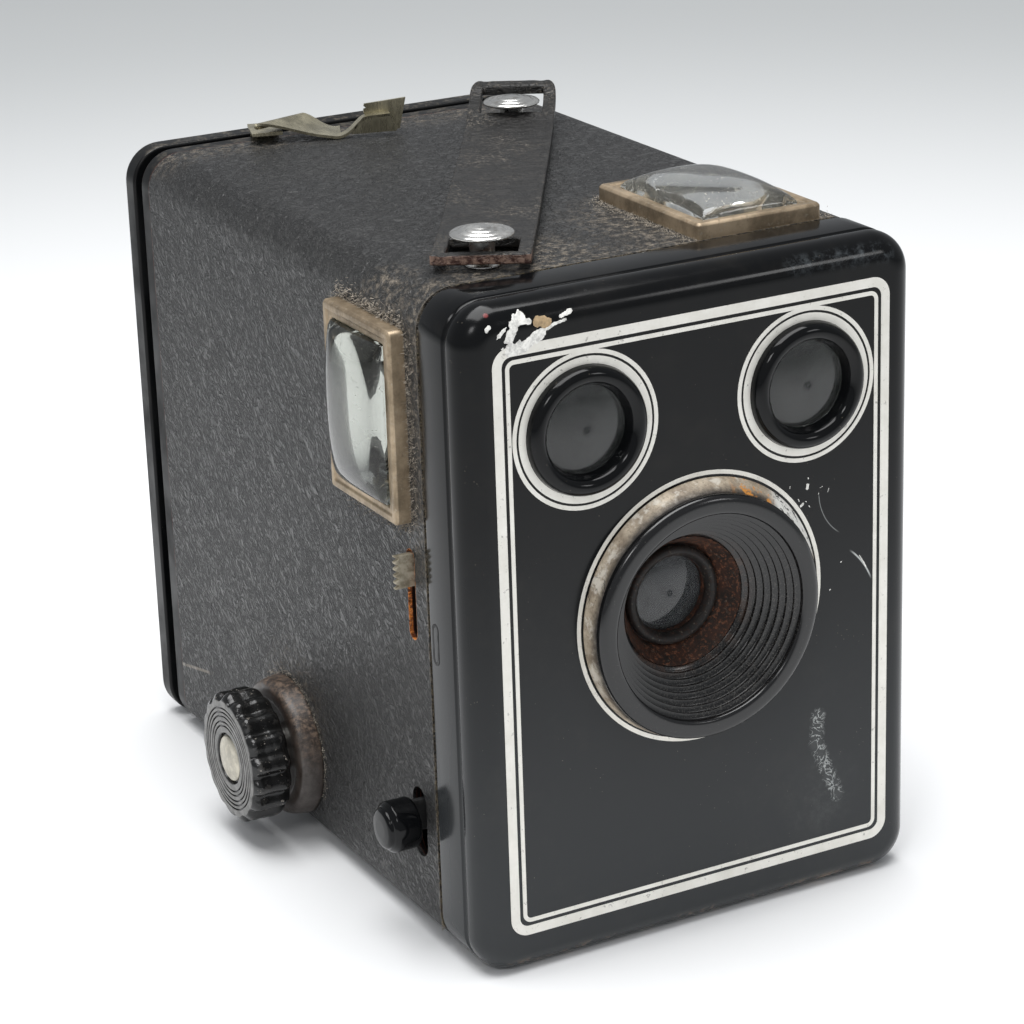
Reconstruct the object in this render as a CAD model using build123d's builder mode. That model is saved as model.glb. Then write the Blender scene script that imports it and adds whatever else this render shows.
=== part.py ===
from build123d import *
import math
import os

# Box camera for 6 x 9 cm pictures on roll film.
# Millimetres. +X right seen from the front, +Y from the front panel to the back,
# +Z up. The origin is the centre of the base, so the camera stands on Z = 0.

# ---- driving dimensions -------------------------------------------------
body_w = 76.4
body_h = 103.6
corner_r = 6.0
front_y = -61.25
back_y = 61.25

skin_t = 0.6
sheet_t = 0.8
flange_back_y = -48.2
cover_front_y = -47.3
rim_front_y = 50.7
rim_back_y = 54.1
door_front_y = 56.3

lens_x = -0.5
lens_z = 51.7
lens_line_x = 0.1
lens_line_z = 52.1
finder_x = 18.73
finder_z = 83.3
finder_y = -32.3

winder_y = 4.3
winder_z = 14.6

lever_y = -41.7
lever_z = 19.3

film_y = 47.0

# ---- derived sizes ------------------------------------------------------
side_x = body_w / 2
shell_w = body_w - 2 * skin_t
shell_h = body_h - 2 * skin_t
shell_r = corner_r - skin_t
inner_w = shell_w - 2 * sheet_t
inner_h = shell_h - 2 * sheet_t
inner_r = shell_r - sheet_t
mid_z = body_h / 2
roof_in_z = mid_z + inner_h / 2
shell_front_y = front_y + 4.3

lens_axis = Axis((lens_x, 0, lens_z), (0, 1, 0))
winder_axis = Axis((0, winder_y, winder_z), (1, 0, 0))


def upright(y):
    """Vertical sketch plane at depth y: local x is +X, local y is +Z."""
    return Plane.XZ.offset(-y)


def block(x0, x1, y0, y1, z0, z1, mode=Mode.ADD):
    """Rectangular block between two corners."""
    with Locations(((x0 + x1) / 2, (y0 + y1) / 2, (z0 + z1) / 2)):
        Box(x1 - x0, y1 - y0, z1 - z0, mode=mode)


def ring_profile(points):
    """Closed face through a list of (radius, height) points."""
    with BuildLine() as outline:
        Polyline(*points, close=True)
    make_face(outline.edges())


def dome_mid(rim_r, sag):
    """Radius and drop of the half-way point of a spherical dome's arc."""
    sphere_r = (rim_r**2 + sag**2) / (2 * sag)
    half = math.asin(rim_r / sphere_r) / 2
    return sphere_r * math.sin(half), sphere_r * (1 - math.cos(half))


def finish(builder, label):
    builder.part.label = label
    export_step(builder.part, f"parts/{label}.step")


os.makedirs("parts", exist_ok=True)

# ---- body shell: drawn steel tube with a rolled rear rim ----------------
time_slot_y = -42.3
time_slot_z0 = 49.0
time_slot_z1 = 63.2
lever_slot_z0 = 13.2
lever_slot_z1 = 24.6
window_short = 18.0
window_long = 25.6
side_window_z = 82.2
top_window_x = 20.0
sleeve_hole_r = 3.75

hinge_y = 55.2
hinge_z = 0.8
hinge_r = 0.8
hinge_bore_r = 0.46
hinge_outer_x = 32.0
hinge_split_x = 12.0
hinge_gap = 0.3
knuckle_web = 1.7


def cut_side_openings():
    """Openings of the winder side and the roof, cut through one skin."""
    with BuildSketch(Plane.YZ.offset(-side_x - 1)) as side_openings:
        with Locations((finder_y, side_window_z)):
            Rectangle(window_short, window_long)
        with Locations((time_slot_y, (time_slot_z0 + time_slot_z1) / 2)):
            SlotOverall(time_slot_z1 - time_slot_z0, 2.5, rotation=90)
        with Locations((lever_y, (lever_slot_z0 + lever_slot_z1) / 2)):
            SlotOverall(lever_slot_z1 - lever_slot_z0, 4.4, rotation=90)
        with Locations((winder_y, winder_z)):
            Circle(sleeve_hole_r)
    extrude(side_openings.sketch, amount=4, mode=Mode.SUBTRACT)
    with BuildSketch(Plane.XY.offset(body_h - 3)) as roof_opening:
        with Locations((top_window_x, finder_y)):
            Rectangle(window_short, window_long)
    extrude(roof_opening.sketch, amount=5, mode=Mode.SUBTRACT)


def knuckle(x0, x1, web_y):
    """Hinge barrel between x0 and x1 with a web towards web_y."""
    block(x0, x1, min(hinge_y, web_y), max(hinge_y, web_y), 0, 2 * hinge_r)
    with Locations(((x0 + x1) / 2, hinge_y, hinge_z)):
        Cylinder(hinge_r, x1 - x0, rotation=(0, 90, 0))
    with Locations(((x0 + x1) / 2, hinge_y, hinge_z)):
        Cylinder(hinge_bore_r, x1 - x0 + 1, rotation=(0, 90, 0), mode=Mode.SUBTRACT)


stud_front = (-23.45, -40.4)
stud_rear = (20.9, 31.8)
stud_shank_r = 1.2

with BuildPart() as body_shell:
    with BuildSketch(upright(shell_front_y)):
        with Locations((0, mid_z)):
            RectangleRounded(shell_w, shell_h, shell_r)
    extrude(amount=-(rim_back_y - shell_front_y))
    with BuildSketch(upright(rim_front_y)):
        with Locations((0, mid_z)):
            RectangleRounded(body_w, body_h, corner_r)
    extrude(amount=-(rim_back_y - rim_front_y))
    rim_back = body_shell.faces().sort_by(Axis.Y)[-1].edges()
    fillet(rim_back, radius=0.5)
    with BuildSketch(upright(shell_front_y - 1)):
        with Locations((0, mid_z)):
            RectangleRounded(inner_w, inner_h, inner_r)
    extrude(amount=-(rim_back_y - shell_front_y + 2), mode=Mode.SUBTRACT)
    cut_side_openings()
    with Locations((*stud_front, body_h - 2), (*stud_rear, body_h - 2)):
        Cylinder(stud_shank_r, 6, mode=Mode.SUBTRACT)
    knuckle(-hinge_outer_x, -hinge_split_x, hinge_y - knuckle_web)
    knuckle(hinge_split_x, hinge_outer_x, hinge_y - knuckle_web)
finish(body_shell, "body_shell")

# ---- leatherette covering: one wrap and one base panel ------------------
cover_split_z = 2.2


def cover_tube():
    """Full wrap of covering between the front flange and the rear rim."""
    with BuildSketch(upright(cover_front_y)) as tube:
        with Locations((0, mid_z)):
            RectangleRounded(body_w, body_h, corner_r)
            RectangleRounded(shell_w, shell_h, shell_r, mode=Mode.SUBTRACT)
    extrude(tube.sketch, amount=-(rim_front_y - cover_front_y))


with BuildPart() as wrap_covering:
    cover_tube()
    split(bisect_by=Plane.XY.offset(cover_split_z), keep=Keep.TOP)
    cut_side_openings()
    with Locations((*stud_front, body_h - 2), (*stud_rear, body_h - 2)):
        Cylinder(stud_shank_r, 6, mode=Mode.SUBTRACT)
finish(wrap_covering, "wrap_covering")

with BuildPart() as base_covering:
    cover_tube()
    split(bisect_by=Plane.XY.offset(cover_split_z), keep=Keep.BOTTOM)
finish(base_covering, "base_covering")

# ---- front plate: pressed steel dish with rounded shoulder --------------
plate_w = 76.8
plate_h = 103.8
panel_t = 0.9
shoulder_r = 4.0
groove_front_y = -57.0
groove_back_y = -55.3
groove_depth = 0.4
neck_r = 7.6
hood_hole_r = 18.15
standoff_x = 29.0
standoff_z = (34.0, 66.0)

with BuildPart() as front_plate:
    with BuildSketch(upright(front_y)):
        with Locations((0, plate_h / 2)):
            RectangleRounded(plate_w, plate_h, corner_r + 0.2)
    extrude(amount=-(flange_back_y - front_y))
    panel_edges = front_plate.faces().sort_by(Axis.Y)[0].edges()
    fillet(panel_edges, radius=shoulder_r)
    with BuildSketch(upright(groove_front_y)):
        with Locations((0, plate_h / 2)):
            RectangleRounded(plate_w + 2, plate_h + 2, corner_r + 1.2)
            RectangleRounded(
                plate_w - 2 * groove_depth,
                plate_h - 2 * groove_depth,
                corner_r + 0.2 - groove_depth,
                mode=Mode.SUBTRACT,
            )
    extrude(amount=-(groove_back_y - groove_front_y) / 2, mode=Mode.SUBTRACT)
    with BuildSketch(upright(shell_front_y - 0.1)):
        with Locations((0, mid_z)):
            RectangleRounded(shell_w + 0.1, shell_h + 0.1, shell_r + 0.05)
    extrude(amount=-20, mode=Mode.SUBTRACT)
    with BuildSketch(upright(front_y + panel_t)):
        with Locations((0, mid_z)):
            RectangleRounded(plate_w - 8.2, plate_h - 8.2, 2.4)
    with BuildSketch(upright(shell_front_y - 0.08)):
        with Locations((0, mid_z)):
            RectangleRounded(shell_w - 2.0, shell_h - 2.0, 4.6)
    loft(mode=Mode.SUBTRACT)
    with BuildSketch(upright(front_y - 1)):
        with Locations((lens_x, lens_z)):
            Circle(hood_hole_r)
        with Locations((-finder_x, finder_z), (finder_x, finder_z)):
            Circle(neck_r)
    extrude(amount=-3, mode=Mode.SUBTRACT)
finish(front_plate, "front_plate")

# ---- painted line trim on the front panel -------------------------------
trim_t = 0.06
border_w = 67.06
border_h = 91.55
band_w = 1.5
band_gap = 0.55
thin_w = 0.65
border_r = 3.0
finder_thin_r = 11.98
finder_wide_r = 10.97
bezel_r = 9.75
lens_thin_r = 21.2
border_z = 52.0


def frame_band(width, height, radius, band):
    """Rounded rectangular band, centred on the panel."""
    with Locations((0, border_z)):
        RectangleRounded(width, height, radius)
        RectangleRounded(
            width - 2 * band, height - 2 * band, max(radius - band, 0.4), mode=Mode.SUBTRACT
        )


with BuildPart() as line_trim:
    inset = band_w + band_gap
    with BuildSketch(upright(front_y)):
        frame_band(border_w, border_h, border_r, band_w)
    extrude(amount=trim_t)
    with BuildSketch(upright(front_y)):
        frame_band(border_w - 2 * inset, border_h - 2 * inset, border_r - 1.6, thin_w)
    extrude(amount=trim_t)
    with BuildSketch(upright(front_y)):
        with Locations((-finder_x, finder_z), (finder_x, finder_z)):
            Circle(finder_thin_r)
            Circle(finder_thin_r - thin_w, mode=Mode.SUBTRACT)
            Circle(finder_wide_r)
            Circle(bezel_r + 0.05, mode=Mode.SUBTRACT)
        with Locations((lens_line_x, lens_line_z)):
            Circle(lens_thin_r)
            Circle(lens_thin_r - thin_w, mode=Mode.SUBTRACT)
    extrude(amount=trim_t)
finish(line_trim, "line_trim")

# ---- lens mount: plated skirt, ribbed hood, annulus, ring, lens ---------
skirt_base_r = 19.8
skirt_top_r = 19.05
skirt_top_y = -64.1
hood_lip_y = -65.55
hood_mouth_r = 16.0
throat_r = 10.2
throat_y = -57.2
seat_y = -53.2
seat_t = 0.8
rib_count = 8
rib_land = 0.62

with BuildPart() as collar_ring:
    with BuildSketch(Plane(origin=(lens_x, 0, lens_z))):
        ring_profile(
            [
                (skirt_base_r, front_y),
                (skirt_base_r, front_y - 0.35),
                (skirt_top_r + 0.15, skirt_top_y + 0.15),
                (skirt_top_r, skirt_top_y),
                (hood_hole_r, skirt_top_y),
                (hood_hole_r, front_y),
            ]
        )
    revolve(axis=lens_axis)
finish(collar_ring, "collar_ring")

rib_drop = (hood_mouth_r - throat_r) / rib_count
rib_pitch = (throat_y - hood_lip_y - 0.7) / rib_count
throat_points = [(hood_mouth_r + 0.25, hood_lip_y), (hood_mouth_r, hood_lip_y + 0.3)]
for step in range(rib_count):
    ridge_r = hood_mouth_r - rib_drop * step
    ridge_y = hood_lip_y + 0.7 + rib_pitch * step
    throat_points.append((ridge_r, ridge_y))
    throat_points.append((ridge_r + 0.35, ridge_y + 0.3))
    throat_points.append((ridge_r + 0.2, ridge_y + rib_pitch * rib_land))
    throat_points.append((ridge_r - rib_drop, ridge_y + rib_pitch * 0.8))
throat_points.append((throat_r, throat_y + 0.8))

with BuildPart() as ribbed_hood:
    with BuildSketch(Plane(origin=(lens_x, 0, lens_z))):
        ring_profile(
            throat_points
            + [
                (throat_r + 1.3, throat_y + 0.8),
                (throat_r + 2.2, throat_y - 0.6),
                (hood_hole_r - 0.9, front_y + 1.0),
                (hood_hole_r - 0.05, front_y + 0.6),
                (hood_hole_r - 0.05, skirt_top_y - 0.02),
                (skirt_top_r - 0.05, skirt_top_y - 0.02),
                (skirt_top_r - 0.05, skirt_top_y - 0.7),
                (skirt_top_r - 0.35, hood_lip_y + 0.25),
                (skirt_top_r - 0.95, hood_lip_y),
            ]
        )
    revolve(axis=lens_axis)
finish(ribbed_hood, "ribbed_hood")

glass_r = 5.9
lens_ring_r = 7.85

with BuildPart() as lens_annulus:
    with BuildSketch(Plane(origin=(lens_x, 0, lens_z))):
        ring_profile(
            [
                (throat_r - 0.05, throat_y),
                (throat_r - 0.05, throat_y + 1.0),
                (lens_ring_r + 0.8, seat_y + seat_t),
                (glass_r + 0.1, seat_y + seat_t),
                (glass_r + 0.1, seat_y),
                (lens_ring_r + 0.1, seat_y),
            ]
        )
    revolve(axis=lens_axis)
finish(lens_annulus, "lens_annulus")

with BuildPart() as lens_ring:
    with BuildSketch(Plane(origin=(lens_x, 0, lens_z))):
        ring_profile(
            [
                (lens_ring_r, seat_y),
                (lens_ring_r, seat_y - 0.8),
                (lens_ring_r - 0.35, seat_y - 1.4),
                (lens_ring_r - 0.9, seat_y - 1.6),
                (lens_ring_r - 1.4, seat_y - 1.3),
                (glass_r + 0.1, seat_y - 0.5),
                (glass_r + 0.1, seat_y),
            ]
        )
    revolve(axis=lens_axis)
finish(lens_ring, "lens_ring")

glass_front_y = seat_y - 0.1
glass_sag = 0.8
with BuildPart() as lens_glass:
    with BuildSketch(Plane(origin=(lens_x, 0, lens_z))):
        mid_r, mid_drop = dome_mid(glass_r, glass_sag)
        with BuildLine():
            Line((0, glass_front_y), (0, seat_y + 1.3))
            Line((0, seat_y + 1.3), (glass_r, seat_y + 1.3))
            Line((glass_r, seat_y + 1.3), (glass_r, glass_front_y + glass_sag))
            ThreePointArc(
                (glass_r, glass_front_y + glass_sag),
                (mid_r, glass_front_y + mid_drop),
                (0, glass_front_y),
            )
        make_face()
    revolve(axis=lens_axis)
finish(lens_glass, "lens_glass")

# ---- shutter: base plate, rotary blade, lever, knob ---------------------
shutter_front_y = -51.6
shutter_t = 0.8
aperture_r = 4.6
blade_pivot_z = 35.0
blade_y = shutter_front_y + shutter_t + 0.3
blade_t = 0.4
blade_reach = lens_z - blade_pivot_z
blade_travel = 49.0
lever_travel = 8.5
lever_pivot_x = -16.0
lever_pivot_z = 21.5
lever_t = 1.0
pivot_r = 1.5

with BuildPart() as shutter_plate:
    with BuildSketch(upright(shutter_front_y)):
        with Locations((0, 50.0)):
            RectangleRounded(64.0, 38.0, 3.0)
        with Locations((lens_x, lens_z)):
            Circle(aperture_r, mode=Mode.SUBTRACT)
        with Locations((lever_pivot_x, 28.0)):
            RectangleRounded(9.0, 16.0, 2.0)
    extrude(amount=-shutter_t)
    with BuildSketch(upright(front_y + panel_t)):
        for post_z in standoff_z:
            with Locations((-standoff_x, post_z), (standoff_x, post_z)):
                Circle(1.6)
    extrude(amount=-(shutter_front_y - front_y - panel_t))
finish(shutter_plate, "shutter_plate")

with BuildPart() as blade_pivot:
    with BuildSketch(upright(shutter_front_y + shutter_t)):
        with Locations((0, blade_pivot_z)):
            Circle(pivot_r)
    extrude(amount=-1.2)
    with BuildSketch(upright(shutter_front_y + shutter_t + 1.0)):
        with Locations((0, blade_pivot_z)):
            Circle(pivot_r + 1.0)
    extrude(amount=-0.6)
finish(blade_pivot, "blade_pivot")

with BuildPart() as shutter_blade:
    with BuildSketch(upright(blade_y)):
        with Locations((0, blade_pivot_z)):
            Circle(blade_reach + 6.5)
            with Locations((0, -blade_reach)):
                Rectangle(60, 2 * blade_reach - 6, mode=Mode.SUBTRACT)
            Circle(5.5)
            Circle(pivot_r + 0.06, mode=Mode.SUBTRACT)
        with Locations((0, blade_pivot_z)):
            with PolarLocations(blade_reach, 1, start_angle=90 + blade_travel / 2):
                Circle(aperture_r, mode=Mode.SUBTRACT)
    extrude(amount=-blade_t)
finish(shutter_blade, "shutter_blade")

lever_front_y = lever_y - lever_t / 2
with BuildPart() as lever_pivot:
    with BuildSketch(upright(shutter_front_y + shutter_t)):
        with Locations((lever_pivot_x, lever_pivot_z)):
            Circle(pivot_r)
    extrude(amount=-(lever_front_y - shutter_front_y - shutter_t + lever_t + 0.3))
    with BuildSketch(upright(shutter_front_y + shutter_t)):
        with Locations((lever_pivot_x, lever_pivot_z)):
            Circle(pivot_r + 1.2)
    extrude(amount=-(lever_front_y - shutter_front_y - shutter_t - 0.3))
    with BuildSketch(upright(lever_front_y + lever_t + 0.3)):
        with Locations((lever_pivot_x, lever_pivot_z)):
            Circle(pivot_r + 1.0)
    extrude(amount=-0.6)
finish(lever_pivot, "lever_pivot")

knob_in_x = -39.7
knob_out_x = -44.8
lever_knob_r = 4.0
lever_tang_r = 1.4
tang_up = 3.4
tang_down = 1.6

with BuildPart() as shutter_lever:
    with BuildSketch(upright(lever_front_y)):
        with Locations((lever_pivot_x, lever_pivot_z)):
            Circle(4.0)
        with BuildLine():
            Polyline(
                (lever_pivot_x, lever_pivot_z + 3.6),
                (-34.0, lever_z + tang_up),
                (-40.0, lever_z + tang_up),
                (-40.0, lever_z - tang_down),
                (-34.0, lever_z - tang_down),
                (lever_pivot_x, lever_pivot_z - 3.6),
                close=True,
            )
        make_face()
        with BuildLine():
            Polyline(
                (lever_pivot_x, lever_pivot_z + 3.0),
                (-3.0, lever_pivot_z + 1.2),
                (-3.0, lever_pivot_z - 1.2),
                (lever_pivot_x, lever_pivot_z - 3.0),
                close=True,
            )
        make_face()
        with Locations((lever_pivot_x, lever_pivot_z)):
            Circle(pivot_r + 0.06, mode=Mode.SUBTRACT)
    extrude(amount=-lever_t)
    with Locations(((knob_out_x - 39.5) / 2 + 0.8, lever_y, lever_z)):
        Cylinder(lever_tang_r, -39.5 - knob_out_x - 1.6, rotation=(0, 90, 0))
finish(shutter_lever, "shutter_lever")

with BuildPart() as lever_knob:
    with BuildSketch(Plane.XY.offset(lever_z)):
        with BuildLine():
            Polyline(
                (knob_in_x, lever_y),
                (knob_in_x, lever_y + lever_knob_r - 0.3),
                (knob_in_x - 0.3, lever_y + lever_knob_r),
                (knob_out_x + 1.5, lever_y + lever_knob_r),
                (knob_out_x + 1.0, lever_y + lever_knob_r - 0.5),
                (knob_out_x + 0.4, lever_y + lever_knob_r - 0.7),
                (knob_out_x + 0.4, lever_y + lever_knob_r - 1.3),
                (knob_out_x, lever_y + lever_knob_r - 1.9),
                (knob_out_x - 0.25, lever_y),
                close=True,
            )
        make_face()
    revolve(axis=Axis((0, lever_y, lever_z), (1, 0, 0)))
    with Locations(((knob_out_x - 39.5) / 2 + 0.8, lever_y, lever_z)):
        Cylinder(lever_tang_r, -39.5 - knob_out_x - 1.6, rotation=(0, 90, 0), mode=Mode.SUBTRACT)
    block(-40.0, knob_in_x + 1, lever_front_y, lever_front_y + lever_t,
          lever_z - tang_down, lever_z + tang_up, mode=Mode.SUBTRACT)
finish(lever_knob, "lever_knob")

# ---- time exposure slide: strip inside, toothed tab outside -------------
tab_z0 = 57.5
tab_z1 = 62.7
tab_out_x = -41.0
tooth_count = 5
tab_y0 = -42.7
tab_y1 = -41.9

with BuildPart() as time_slide:
    block(-36.5, -35.8, -45.2, -39.2, 46.0, 70.2)
    block(tab_out_x, -36.0, tab_y0, tab_y1, tab_z0, tab_z1)
    tooth_pitch = (tab_z1 - tab_z0) / tooth_count
    with BuildSketch(upright(tab_y0 - 0.2)):
        for tooth in range(tooth_count):
            notch_z = tab_z0 + tooth_pitch * (tooth + 0.5)
            with BuildLine():
                Polyline(
                    (tab_out_x - 0.1, notch_z - tooth_pitch * 0.42),
                    (tab_out_x + 0.75, notch_z),
                    (tab_out_x - 0.1, notch_z + tooth_pitch * 0.42),
                    close=True,
                )
            make_face()
    extrude(amount=-2, mode=Mode.SUBTRACT)
finish(time_slide, "time_slide")

with BuildPart() as slide_guides:
    for guide_z in (44.6, 68.6):
        block(-36.8, -35.1, -46.4, -38.0, guide_z, guide_z + 2.4)
        block(-36.8, -35.5, -45.5, -38.9, guide_z - 1, guide_z + 4, mode=Mode.SUBTRACT)
finish(slide_guides, "slide_guides")

# ---- reflecting finders -------------------------------------------------
finder_glass_r = 6.62
bezel_in_r = 6.7
mirror_t = 1.0
box_t = 0.6
box_front_y = shell_front_y + 0.4
box_back_y = -20.4
mirror_half = 14.2


def finder_bezel(cx):
    """Raised glossy bead round a finder window, with a neck through the panel."""
    with BuildSketch(Plane.XY.offset(finder_z)) as profile:
        with BuildLine() as outline:
            Line((cx + bezel_r, front_y), (cx + bezel_r, front_y - 0.5))
            ThreePointArc(
                (cx + bezel_r, front_y - 0.5),
                (cx + 8.35, front_y - 2.0),
                (cx + bezel_in_r + 0.15, front_y - 0.9),
            )
            Line((cx + bezel_in_r + 0.15, front_y - 0.9), (cx + bezel_in_r, front_y + 1.4))
            Line((cx + bezel_in_r, front_y + 1.4), (cx + neck_r - 0.05, front_y + 1.4))
            Line((cx + neck_r - 0.05, front_y + 1.4), (cx + neck_r - 0.05, front_y))
            Line((cx + neck_r - 0.05, front_y), (cx + bezel_r, front_y))
        make_face(outline.edges())
    revolve(profile.sketch, axis=Axis((cx, 0, finder_z), (0, 1, 0)))


def finder_objective(cx):
    """Small plano-convex lens held in the bezel's neck."""
    apex_y = front_y - 0.45
    sag = 0.8
    mid_r, mid_drop = dome_mid(finder_glass_r, sag)
    with BuildSketch(Plane.XY.offset(finder_z)) as profile:
        with BuildLine() as outline:
            Line((cx, apex_y), (cx, front_y + 1.3))
            Line((cx, front_y + 1.3), (cx + finder_glass_r, front_y + 1.3))
            Line((cx + finder_glass_r, front_y + 1.3), (cx + finder_glass_r, apex_y + sag))
            ThreePointArc(
                (cx + finder_glass_r, apex_y + sag),
                (cx + mid_r, apex_y + mid_drop),
                (cx, apex_y),
            )
        make_face(outline.edges())
    revolve(profile.sketch, axis=Axis((cx, 0, finder_z), (0, 1, 0)))


for side_name, sign in (("left", -1), ("right", 1)):
    with BuildPart() as bezel:
        finder_bezel(sign * finder_x)
    finish(bezel, f"finder_bezel_{side_name}")
    with BuildPart() as objective:
        finder_objective(sign * finder_x)
    finish(objective, f"finder_objective_{side_name}")

left_box = (-36.4, -7.2, 71.4, 97.0)
right_box = (6.6, 33.4, 71.4, 101.8)

with BuildPart() as side_finder_housing:
    block(left_box[0], left_box[1], box_front_y, box_back_y, left_box[2], left_box[3])
    block(left_box[0] + box_t, left_box[1] - box_t, box_front_y + box_t, box_back_y - box_t,
          left_box[2] + box_t, left_box[3] - box_t, mode=Mode.SUBTRACT)
    block(left_box[0] - 1, left_box[0] + 1, finder_y - window_short / 2,
          finder_y + window_short / 2, left_box[2] + 1.0, left_box[3] - 1.0, mode=Mode.SUBTRACT)
    with Locations((-finder_x, box_front_y, finder_z)):
        Cylinder(neck_r + 0.2, 3, rotation=(90, 0, 0), mode=Mode.SUBTRACT)
finish(side_finder_housing, "side_finder_housing")

with BuildPart() as top_finder_housing:
    block(right_box[0], right_box[1], box_front_y, box_back_y, right_box[2], right_box[3])
    block(right_box[0] + box_t, right_box[1] - box_t, box_front_y + box_t, box_back_y - box_t,
          right_box[2] + box_t, right_box[3] - box_t, mode=Mode.SUBTRACT)
    block(top_window_x - window_short / 2, top_window_x + window_short / 2,
          finder_y - 11.6, finder_y + 11.6, right_box[3] - 1, right_box[3] + 1, mode=Mode.SUBTRACT)
    with Locations((finder_x, box_front_y, finder_z)):
        Cylinder(neck_r + 0.2, 3, rotation=(90, 0, 0), mode=Mode.SUBTRACT)
finish(top_finder_housing, "top_finder_housing")

side_mirror_plane = Plane(
    origin=(-finder_x, finder_y, finder_z), x_dir=(1, -1, 0), z_dir=(-1, -1, 0)
)
top_mirror_plane = Plane(
    origin=(finder_x, finder_y, finder_z), x_dir=(1, 0, 0), z_dir=(0, -1, 1)
)
with BuildPart() as side_finder_mirror:
    with BuildSketch(side_mirror_plane):
        Rectangle(2 * mirror_half, 22.0)
    extrude(amount=-mirror_t)
finish(side_finder_mirror, "side_finder_mirror")

with BuildPart() as top_finder_mirror:
    with BuildSketch(top_mirror_plane):
        Rectangle(22.0, 2 * mirror_half - 2.0)
    extrude(amount=-mirror_t)
finish(top_finder_mirror, "top_finder_mirror")

# Window frames stand proud of the covering, and each holds a domed lens.
frame_short = 22.0
frame_long = 29.6
frame_h = 2.5
frame_lip = 2.5
lens_clear = 0.1
dome_r = 38.0
dome_h = 3.2
lens_short = frame_short - 2 * frame_lip - 2 * lens_clear
lens_long = frame_long - 2 * frame_lip - 2 * lens_clear
side_window_plane = Plane(
    origin=(-side_x, finder_y, side_window_z), x_dir=(0, -1, 0), z_dir=(-1, 0, 0)
)
top_window_plane = Plane(
    origin=(top_window_x, finder_y, body_h), x_dir=(1, 0, 0), z_dir=(0, 0, 1)
)


def window_frame_ring(plane):
    """Frame with a bevelled outer top edge, seated on the covering."""
    with BuildSketch(plane) as base:
        Rectangle(frame_short, frame_long)
    extrude(base.sketch, amount=frame_h - 0.5)
    with BuildSketch(plane.offset(frame_h - 0.5)) as bevel_base:
        Rectangle(frame_short, frame_long)
    with BuildSketch(plane.offset(frame_h)) as bevel_top:
        Rectangle(frame_short - 1.0, frame_long - 1.0)
    loft([bevel_base.sketch.face(), bevel_top.sketch.face()])
    with BuildSketch(plane.offset(-1)) as opening:
        Rectangle(frame_short - 2 * frame_lip, frame_long - 2 * frame_lip)
    extrude(opening.sketch, amount=frame_h + 2, mode=Mode.SUBTRACT)


def window_lens(plane):
    """Rectangular lens with a spherical top, standing on a thin foot."""
    with BuildSketch(plane.offset(0.1)) as foot:
        Rectangle(lens_short, lens_long)
    extrude(foot.sketch, amount=frame_h + dome_h - 0.1)
    sphere_plane = plane.offset(frame_h + dome_h - dome_r)
    with Locations(sphere_plane):
        Sphere(dome_r, mode=Mode.INTERSECT)


with BuildPart() as side_window_frame:
    window_frame_ring(side_window_plane)
finish(side_window_frame, "side_window_frame")
with BuildPart() as side_window_lens:
    window_lens(side_window_plane)
finish(side_window_lens, "side_window_lens")
with BuildPart() as top_window_frame:
    window_frame_ring(top_window_plane)
finish(top_window_frame, "top_window_frame")
with BuildPart() as top_window_lens:
    window_lens(top_window_plane)
finish(top_window_lens, "top_window_lens")

# ---- carrying strap on two mushroom studs -------------------------------
neck_stud_r = 2.1
head_r = 4.8
head_z = body_h + 3.9
strap_w = 14.7
strap_t = 1.6
strap_dx = stud_rear[0] - stud_front[0]
strap_dy = stud_rear[1] - stud_front[1]
stud_pitch = math.hypot(strap_dx, strap_dy)
strap_dir = (strap_dx / stud_pitch, strap_dy / stud_pitch, 0)
strap_end = -4.5
strap_tail = 93.8


def mushroom_stud(cx, cy):
    """Turned stud: foot washer, neck and a shallow ringed head."""
    with BuildSketch(Plane.XZ.offset(-cy)) as profile:
        ring_profile(
            [
                (cx, body_h - 2.4),
                (cx + stud_shank_r - 0.05, body_h - 2.4),
                (cx + stud_shank_r - 0.05, body_h),
                (cx + 4.0, body_h),
                (cx + 3.8, body_h + 0.35),
                (cx + neck_stud_r, body_h + 0.4),
                (cx + neck_stud_r - 0.25, body_h + 2.0),
                (cx + neck_stud_r, head_z - 0.1),
                (cx + head_r - 0.4, head_z + 0.1),
                (cx + head_r, head_z + 0.45),
                (cx + head_r - 0.2, head_z + 0.75),
                (cx + 3.7, head_z + 1.05),
                (cx + 3.5, head_z + 0.95),
                (cx + 2.6, head_z + 1.25),
                (cx + 2.4, head_z + 1.15),
                (cx + 1.4, head_z + 1.4),
                (cx, head_z + 1.45),
            ]
        )
    revolve(profile.sketch, axis=Axis((cx, cy, 0), (0, 0, 1)))


with BuildPart() as handle_stud_front:
    mushroom_stud(*stud_front)
finish(handle_stud_front, "handle_stud_front")
with BuildPart() as handle_stud_rear:
    mushroom_stud(*stud_rear)
finish(handle_stud_rear, "handle_stud_rear")

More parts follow.
